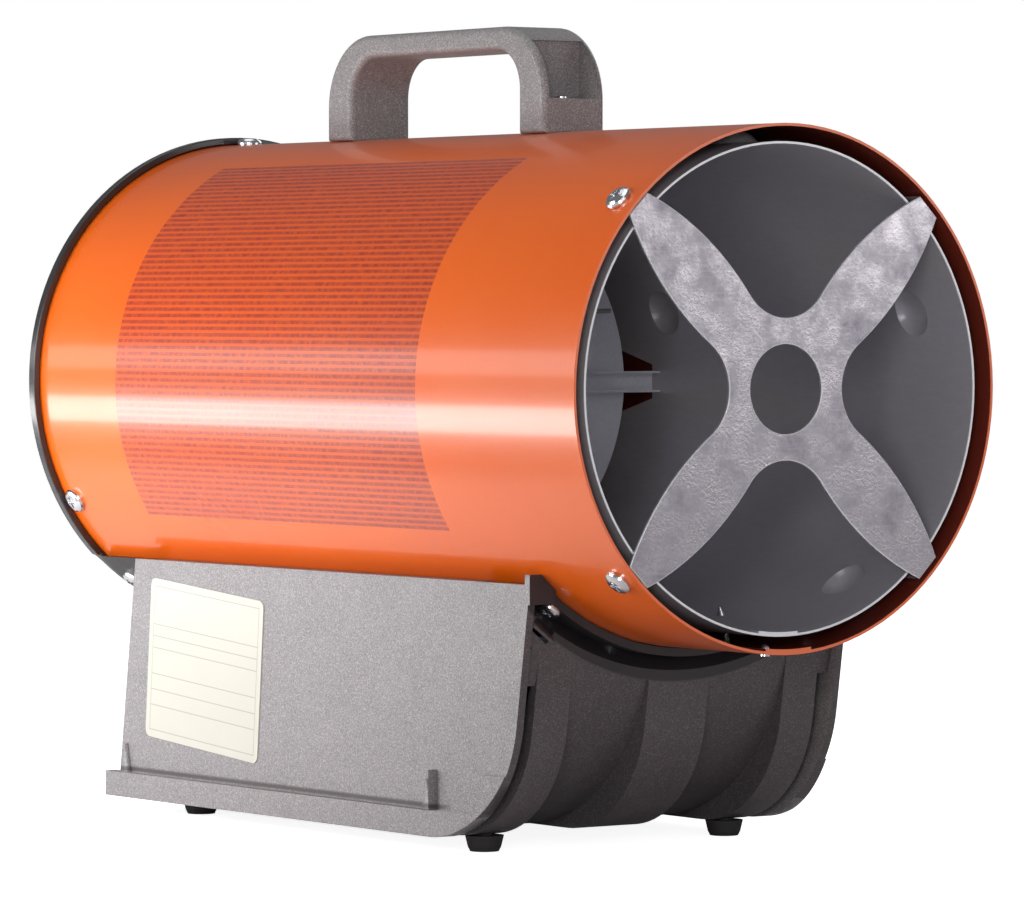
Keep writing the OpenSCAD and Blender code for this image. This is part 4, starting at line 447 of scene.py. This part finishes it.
def sparkle(material, share, bright, dull):
    """Fine glittering specks, as moulded texture catches the light."""
    tree = material.node_tree
    cells = tree.nodes.new("ShaderNodeTexVoronoi")
    cells.inputs["Scale"].default_value = 2600.0
    tree.links.new(object_axes(tree)[0], cells.inputs["Vector"])
    pick = tree.nodes.new("ShaderNodeSeparateColor")
    tree.links.new(cells.outputs["Color"], pick.inputs[0])
    speck = ramp(tree, pick.outputs[0], 1.0 - share, 1.0 - share * 0.4)
    dark = ramp(tree, pick.outputs[1], 1.0 - share, 1.0 - share * 0.4)
    lit = color_mix(tree, times(tree, speck, 0.6), grain_color_of(material), bright)
    lay_over(material, times(tree, dark, 0.5), lit, dull)


sparkle(moulded_grey, 0.3, (0.46, 0.44, 0.445), (0.095, 0.087, 0.09))
handle_half_width = 0.0138
handle = refined_copy("carry_handle", "handle_grip_moulding", 0.0032, 6,
                      lambda a, b: min(abs(a.x), abs(b.x)) > handle_half_width and abs(a.x - b.x) < 0.0001)
only_material(handle, moulded_grey)
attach(handle, "housing")

# ---- base shell and rear panel ----
# One moulding in dark grey textured plastic: three ribs with valleys between them, and a scooped edge
# that the drum lies in, painted darker as painted shade under the drum. The rear panel is moulded in the same
# plastic and closes the back.
scoop_radius = 0.1045
rounded_depth, rounded_half_width, rounded_top = 0.085, 0.064, 0.088
# its own dark grey, painted darker still than the covers as painted shade for the weaker light on the front
shell_dark = finish_material("shell_dark", (0.085, 0.077, 0.082), (0.060, 0.054, 0.060), metallic=0.0,
                             rough=(0.46, 0.12), cloud=(45.0, 0.4), grain=(3000.0, 0.5), bump=0.3)
sparkle(shell_dark, 0.24, (0.17, 0.155, 0.165), (0.035, 0.03, 0.034))
shell_tree = shell_dark.node_tree
shell_paint = shell_tree.nodes["Principled BSDF"].inputs["Base Color"].links[0].from_socket
shell_x, shell_z = object_axes(shell_tree)[1::2]
shell_up = math_node(shell_tree, "SUBTRACT", shell_z, drum_middle)
shell_reach = distance(shell_tree, shell_x, shell_up)
# painted shade: the scooped edge under the drum is painted darker
scoop_painted_shade = ramp(shell_tree, shell_reach, scoop_radius, scoop_radius + 0.0007, 1.0, 0.0)
lay_over(shell_dark, scoop_painted_shade, shell_paint, (0.030, 0.026, 0.029))
shell_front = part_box("base_shell")[0].y
shell = refined_copy("base_shell", "ribbed_shell", 0.0008, 3,
                     lambda a, b: max(a.y, b.y) < shell_front + rounded_depth and (a - b).length > 0.0022
                     and max(abs(a.x), abs(b.x)) < rounded_half_width and max(a.z, b.z) < rounded_top)
only_material(shell, shell_dark)
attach(shell, "housing")
set_node_material("rear_panel", shell_dark)

# ---- screw pockets ----
# Two small plates moulded into the shell's scooped edge, one under each saddle screw. Each leans back
# with the screw's channel and has softly rounded edges.
pocket_thick, pocket_long, pocket_wide = 0.0012, 0.0092, 0.0112
pocket_reach, pocket_back = 0.10425, 0.0612
pocket_slope = math.atan2(0.0225, 0.0305)
pocket_from_below = 36.48
for pocket_side, pocket_turn in (("left", math.radians(-90 - pocket_from_below)),
                                 ("right", math.radians(-90 + pocket_from_below))):
    bpy.ops.object.select_all(action="DESELECT")
    bpy.ops.mesh.primitive_cube_add(size=1)
    pocket = bpy.context.object
    pocket.name = "screw_pocket_" + pocket_side
    bpy.ops.object.mode_set(mode="EDIT")
    bpy.ops.transform.resize(value=(pocket_thick, pocket_long, pocket_wide))
    bpy.ops.transform.rotate(value=-pocket_slope, orient_axis="Z", center_override=(0, 0, 0))
    bpy.ops.transform.translate(value=(pocket_reach, drum_front + pocket_back, 0))
    bpy.ops.transform.rotate(value=pocket_turn, orient_axis="Y", center_override=(0, 0, 0))
    bpy.ops.transform.translate(value=(0, 0, drum_middle))
    bpy.ops.object.mode_set(mode="OBJECT")
    softened = pocket.modifiers.new("softened", "BEVEL")
    softened.width = 0.0004
    softened.segments = 3
    bpy.ops.object.modifier_apply(modifier="softened")
    pocket.data.materials.append(shell_dark)
    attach(pocket, "housing")

# ---- side covers ----
# Two textured mouldings with a rail along the foot and a cove above it, each screwed to the floor of the
# shell. They are of the same plastic as the shell, painted lighter as painted light from the key lamp on the
# left; the cove is painted dark as painted shade, and their front faces take the shell's darker plastic as
# painted shade.
rail_height = 0.0095
rail_inner_x, rail_outer_x = 0.069, 0.072
cove_low, cove_high = 0.0009, 0.0017
cove_start, cove_full = 0.035, 0.06
# painted light: the same plastic as the shell, given a lighter grey for the key lamp falling on the sides
cover_grey_painted_lit = finish_material("cover_grey_painted_lit", (0.225, 0.212, 0.217), (0.18, 0.17, 0.174), metallic=0.0,
                             rough=(0.46, 0.1), cloud=(45.0, 0.35), grain=(3000.0, 0.45), bump=0.3)
sparkle(cover_grey_painted_lit, 0.34, (0.42, 0.40, 0.41), (0.10, 0.092, 0.096))
cover_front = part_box("left_cover")[0].y
rail_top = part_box("left_cover")[0].z + rail_height
cover_tree = cover_grey_painted_lit.node_tree
cover_paint = cover_tree.nodes["Principled BSDF"].inputs["Base Color"].links[0].from_socket
cover_y, cover_z = object_axes(cover_tree)[2:]
# painted shade: a dark band in the cove just above the rail, fading out towards the front
cove_painted_shade = times(cover_tree, band(cover_tree, cover_z, rail_top + cove_low, rail_top + cove_high, 0.0009),
                  ramp(cover_tree, cover_y, cover_front + cove_start, cover_front + cove_full))
lay_over(cover_grey_painted_lit, times(cover_tree, cove_painted_shade, 0.85), cover_paint, (0.045, 0.036, 0.036))
for cover_side, cover_node in (("left", "left_cover"), ("right", "right_cover")):
    cover = refined_copy(cover_node, "side_cover_" + cover_side, 0.0009, 3,
                         lambda a, b: min(abs(a.x), abs(b.x)) > rail_inner_x and (a - b).length > 0.0015
                         and not (max(abs(a.x), abs(b.x)) > rail_outer_x
                                  and max(a.z, b.z) > rail_top + 0.0002))
    only_material(cover, cover_grey_painted_lit)
    # painted shade: the covers' faces that look forward near the front take the shell's darker plastic
    cover.data.materials.append(shell_dark)
    for face in cover.data.polygons:
        if face.normal.y < -0.55 and face.center.y < cover_front + 0.03:
            face.material_index = 1
    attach(cover, "housing")

# ---- feet ----
# Black rubber, moulded, pushed into the floor by a barbed stem. The grommet round the motor's lead is
# of the same rubber.
foot_rubber = finish_material("foot_rubber", (0.022, 0.021, 0.021), (0.034, 0.031, 0.030), metallic=0.0,
                              rough=(0.72, 0.1), cloud=(200.0, 0.5), grain=(1500.0, 0.2), bump=0.3)
set_node_material("rubber_feet", foot_rubber)
set_node_material("lead_grommet", foot_rubber)

# ---- rear ring ----
# A pressed ring of black lacquered steel, pushed over the drum's rear edge and held there by the rear
# screws.
ring_black = finish_material("ring_black", (0.018, 0.017, 0.018), (0.028, 0.026, 0.028), metallic=0.0,
                             rough=(0.3, 0.08), cloud=(30.0, 0.4), grain=(1400.0, 0.08), bump=0.12)
ring_shader = ring_black.node_tree.nodes["Principled BSDF"]
ring_shader.inputs["Coat Weight"].default_value = 0.5
ring_shader.inputs["Coat Roughness"].default_value = 0.15
ring = refined_copy("rear_ring", "pressed_ring", 0.0008, 3, lambda a, b: (a - b).length > 0.003)
only_material(ring, ring_black)
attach(ring, "housing")

# ---- rear guard ----
# Round steel wire: seven rings welded onto six spokes, then lacquered black. It closes the drum's rear
# end inside the ring.
guard_low, guard_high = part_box("rear_guard")
wire_radius = 0.0011
guard_ring_y = guard_high.y - wire_radius
spoke_y = guard_low.y + wire_radius
ring_radii = [0.014 + 0.012 * i for i in range(6)] + [guard_high.x - wire_radius]
bpy.ops.object.select_all(action="DESELECT")
wires = []
for radius in ring_radii:
    bpy.ops.mesh.primitive_torus_add(major_radius=radius, minor_radius=wire_radius, major_segments=72,
                                     minor_segments=10, location=(0, guard_ring_y, drum_middle),
                                     rotation=(math.radians(90), 0, 0))
    wires.append(bpy.context.object)
spoke_in, spoke_out = ring_radii[0] - wire_radius, ring_radii[-1] + wire_radius * 0.4
spoke_middle = (spoke_in + spoke_out) / 2
for i in range(6):
    turn = math.radians(60 * i)
    bpy.ops.mesh.primitive_cylinder_add(
        vertices=12, radius=wire_radius, depth=spoke_out - spoke_in,
        location=(math.cos(turn) * spoke_middle, spoke_y, drum_middle + math.sin(turn) * spoke_middle),
        rotation=(0, math.radians(90) - turn, 0))
    spoke = bpy.context.object
    bpy.ops.object.mode_set(mode="EDIT")
    bpy.ops.mesh.select_all(action="SELECT")
    bpy.ops.mesh.bevel(offset=wire_radius * 0.45, segments=2, affect="EDGES")
    bpy.ops.object.mode_set(mode="OBJECT")
    wires.append(spoke)
bpy.ops.object.select_all(action="DESELECT")
for wire in wires:
    wire.select_set(True)
guard = wires[0]
bpy.context.view_layer.objects.active = guard
bpy.ops.object.join()
bpy.ops.object.transform_apply(location=True, rotation=True, scale=True)
bpy.ops.object.shade_smooth_by_angle(angle=math.radians(40))
guard.name = "wire_guard"
guard.data.materials.append(ring_black)
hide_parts("rear_guard")
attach(guard, "housing")

# ---- rating plate ----
# Cream laminated foil, blank, with thin printed rules in a frame. It is glued to the left cover, along
# the cover's slope.
plate_foil = finish_material("plate_foil", (0.52, 0.51, 0.445), (0.48, 0.47, 0.42), metallic=0.0,
                             rough=(0.36, 0.06), cloud=(30.0, 0.4), grain=(1500.0, 0.03), bump=0.05)
plate_tree = plate_foil.node_tree
plate_low, plate_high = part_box("rating_plate")
plate_mid = (plate_low + plate_high) / 2
plate_at = plate_tree.nodes.new("ShaderNodeTexCoord")
plate_move = plate_tree.nodes.new("ShaderNodeVectorMath")
plate_move.operation = "SUBTRACT"
plate_move.inputs[1].default_value = plate_mid
plate_tree.links.new(plate_at.outputs["Object"], plate_move.inputs[0])
plate_turn = plate_tree.nodes.new("ShaderNodeMapping")
plate_turn.inputs["Rotation"].default_value = (math.radians(-4.5), 0, 0)
plate_tree.links.new(plate_move.outputs["Vector"], plate_turn.inputs["Vector"])
plate_split = plate_tree.nodes.new("ShaderNodeSeparateXYZ")
plate_tree.links.new(plate_turn.outputs["Vector"], plate_split.inputs[0])
plate_y, plate_z = plate_split.outputs["Y"], plate_split.outputs["Z"]
rule_half = 0.00016
frame_y, frame_z = 0.0368, 0.0278
plate_inside = times(plate_tree, band(plate_tree, plate_y, -frame_y, frame_y, 0.0001),
                     band(plate_tree, plate_z, -frame_z, frame_z, 0.0001))
plate_rules = [(plate_z, z) for z in (0.0276, 0.0130, 0.0085, 0.0040, -0.0060, -0.0120, -0.0180, -0.0276)]
plate_rules += [(plate_y, -0.0366), (plate_y, 0.0366)]
plate_rows = times(plate_tree, plate_z, 0.0)
for across, place in plate_rules:
    rule = band(plate_tree, across, place - rule_half, place + rule_half, 0.0001)
    plate_rows = math_node(plate_tree, "MAXIMUM", plate_rows, rule)
plate_print = times(plate_tree, times(plate_tree, plate_rows, plate_inside), 0.6)
lay_over(plate_foil, plate_print, grain_color_of(plate_foil), (0.25, 0.24, 0.22))
set_node_material("rating_plate", plate_foil)

# ---- gas pipe, injector and valve ----
# Drawn copper pipe, turned brass fittings and a die cast valve block. The pipe runs from the valve to
# the injector and is held by a union nut at each end.
pipe_copper = finish_material("pipe_copper", (0.72, 0.36, 0.22), (0.42, 0.18, 0.11), metallic=1.0,
                              rough=(0.3, 0.14), cloud=(60.0, 0.5), grain=(900.0, 0.1), bump=0.1)
fitting_brass = finish_material("fitting_brass", (0.78, 0.56, 0.24), (0.60, 0.40, 0.15), metallic=1.0,
                                rough=(0.28, 0.12), cloud=(90.0, 0.4), grain=(1100.0, 0.08), bump=0.12)
valve_cast = finish_material("valve_cast", (0.55, 0.53, 0.48), (0.42, 0.40, 0.37), metallic=0.85,
                             rough=(0.42, 0.12), cloud=(60.0, 0.5), grain=(900.0, 0.2), bump=0.3)
set_node_material("gas_pipe", pipe_copper)
for fitting in ("gas_injector", "pipe_nuts", "gas_inlet", "inlet_nut"):
    set_node_material(fitting, fitting_brass)
set_node_material("gas_valve", valve_cast)

# ---- ignition and flame sensing ----
# Glazed white ceramic with a bright spark wire, a red silicone lead and a copper capillary. They stand
# at the burner and lead down into the base.
glaze = finish_material("white_glaze", (0.80, 0.79, 0.74), (0.74, 0.72, 0.66), metallic=0.0,
                        rough=(0.16, 0.06), cloud=(120.0, 0.4), grain=(900.0, 0.03), bump=0.04)
spark_wire = finish_material("spark_wire", (0.60, 0.58, 0.55), (0.40, 0.34, 0.30), metallic=1.0,
                             rough=(0.3, 0.1), cloud=(250.0, 0.6), grain=(1200.0, 0.08), bump=0.1)
red_lead = finish_material("red_lead", (0.52, 0.05, 0.035), (0.42, 0.035, 0.03), metallic=0.0,
                           rough=(0.46, 0.08), cloud=(90.0, 0.4), grain=(1500.0, 0.08), bump=0.1)
set_node_material("electrode_insulator", glaze)
set_node_material("terminal_block", glaze)
set_node_material("ignition_electrode", spark_wire)
set_node_material("ignition_lead", red_lead)
set_node_material("thermocouple", pipe_copper)

# ---- fan and motor ----
# Pressed aluminium fan on a ground steel shaft; the motor has a painted can, a laminated core with
# copper windings and bronze bushes.
fan_sheet = finish_material("fan_sheet", (0.66, 0.67, 0.69), (0.52, 0.53, 0.56), metallic=0.95,
                            rough=(0.36, 0.14), cloud=(25.0, 0.5), grain=(700.0, 0.08), bump=0.1,
                            stretch=(1, 1, 6))
ground_steel = finish_material("ground_steel", (0.66, 0.66, 0.68), (0.54, 0.54, 0.57), metallic=1.0,
                               rough=(0.22, 0.08), cloud=(80.0, 0.4), grain=(900.0, 0.06), bump=0.08,
                               stretch=(1, 12, 1))
motor_paint = finish_material("motor_paint", (0.045, 0.045, 0.05), (0.065, 0.065, 0.07), metallic=0.0,
                              rough=(0.42, 0.1), cloud=(40.0, 0.5), grain=(900.0, 0.1), bump=0.2)
winding_copper = finish_material("winding_copper", (0.50, 0.24, 0.11), (0.34, 0.14, 0.07), metallic=0.9,
                                 rough=(0.4, 0.1), cloud=(160.0, 0.6), grain=(1400.0, 0.25), bump=0.4,
                                 stretch=(1, 8, 1))
bush_bronze = finish_material("bush_bronze", (0.55, 0.38, 0.18), (0.42, 0.28, 0.13), metallic=1.0,
                              rough=(0.38, 0.1), cloud=(140.0, 0.5), grain=(1100.0, 0.12), bump=0.15)
set_node_material("fan_impeller", fan_sheet)
set_node_material("motor_shaft", ground_steel)
set_node_material("motor_rotor", ground_steel)
set_node_material("motor_can", motor_paint)
set_node_material("motor_end_cap", motor_paint)
set_node_material("motor_stator", winding_copper)
set_node_material("motor_bearings", bush_bronze)

# ---- controls ----
# Moulded black and red plastic parts on the rear panel, a cream igniter body, a black gland and lead.
# The caps, the knob and the rocker move; the frame, the gland and the igniter body are fixed.
control_black = finish_material("control_black", (0.028, 0.027, 0.028), (0.042, 0.040, 0.042), metallic=0.0,
                                rough=(0.34, 0.1), cloud=(90.0, 0.4), grain=(1600.0, 0.15), bump=0.2)
control_red = finish_material("control_red", (0.52, 0.03, 0.025), (0.45, 0.025, 0.02), metallic=0.0,
                              rough=(0.26, 0.08), cloud=(90.0, 0.4), grain=(1600.0, 0.05), bump=0.08)
piezo_cream = finish_material("piezo_cream", (0.66, 0.63, 0.55), (0.60, 0.57, 0.49), metallic=0.0,
                              rough=(0.4, 0.08), cloud=(90.0, 0.4), grain=(1600.0, 0.06), bump=0.1)
panel_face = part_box("rear_panel")[1].y
knob = refined_copy("output_knob", "fluted_knob", 0.0005, 2,
                    lambda a, b: min(a.y, b.y) > panel_face and (a - b).length > 0.0006)
only_material(knob, control_black)
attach(knob, "knob_body")
for cap_node, cap_name, cap_slot, cap_body, cap_paint in (
        ("gas_button", "gas_button_cap", "control_black", "gas_button_body", control_black),
        ("piezo_button", "piezo_button_cap", "control_red", "piezo_button_body", control_red)):
    cap = refined_copy(cap_node, cap_name, 0.0012, 4, lambda a, b: min(a.y, b.y) > panel_face - 0.02
                       and (a - b).length > 0.0005 and abs(a.y - b.y) < 0.0001)
    only_material(cap, cap_paint)
    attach(cap, cap_body)
for moulded in ("switch_frame", "cable_gland", "gland_nut", "motor_lead"):
    set_node_material(moulded, control_black)
set_node_material("switch_rocker", control_red)
set_node_material("piezo_body", piezo_cream)
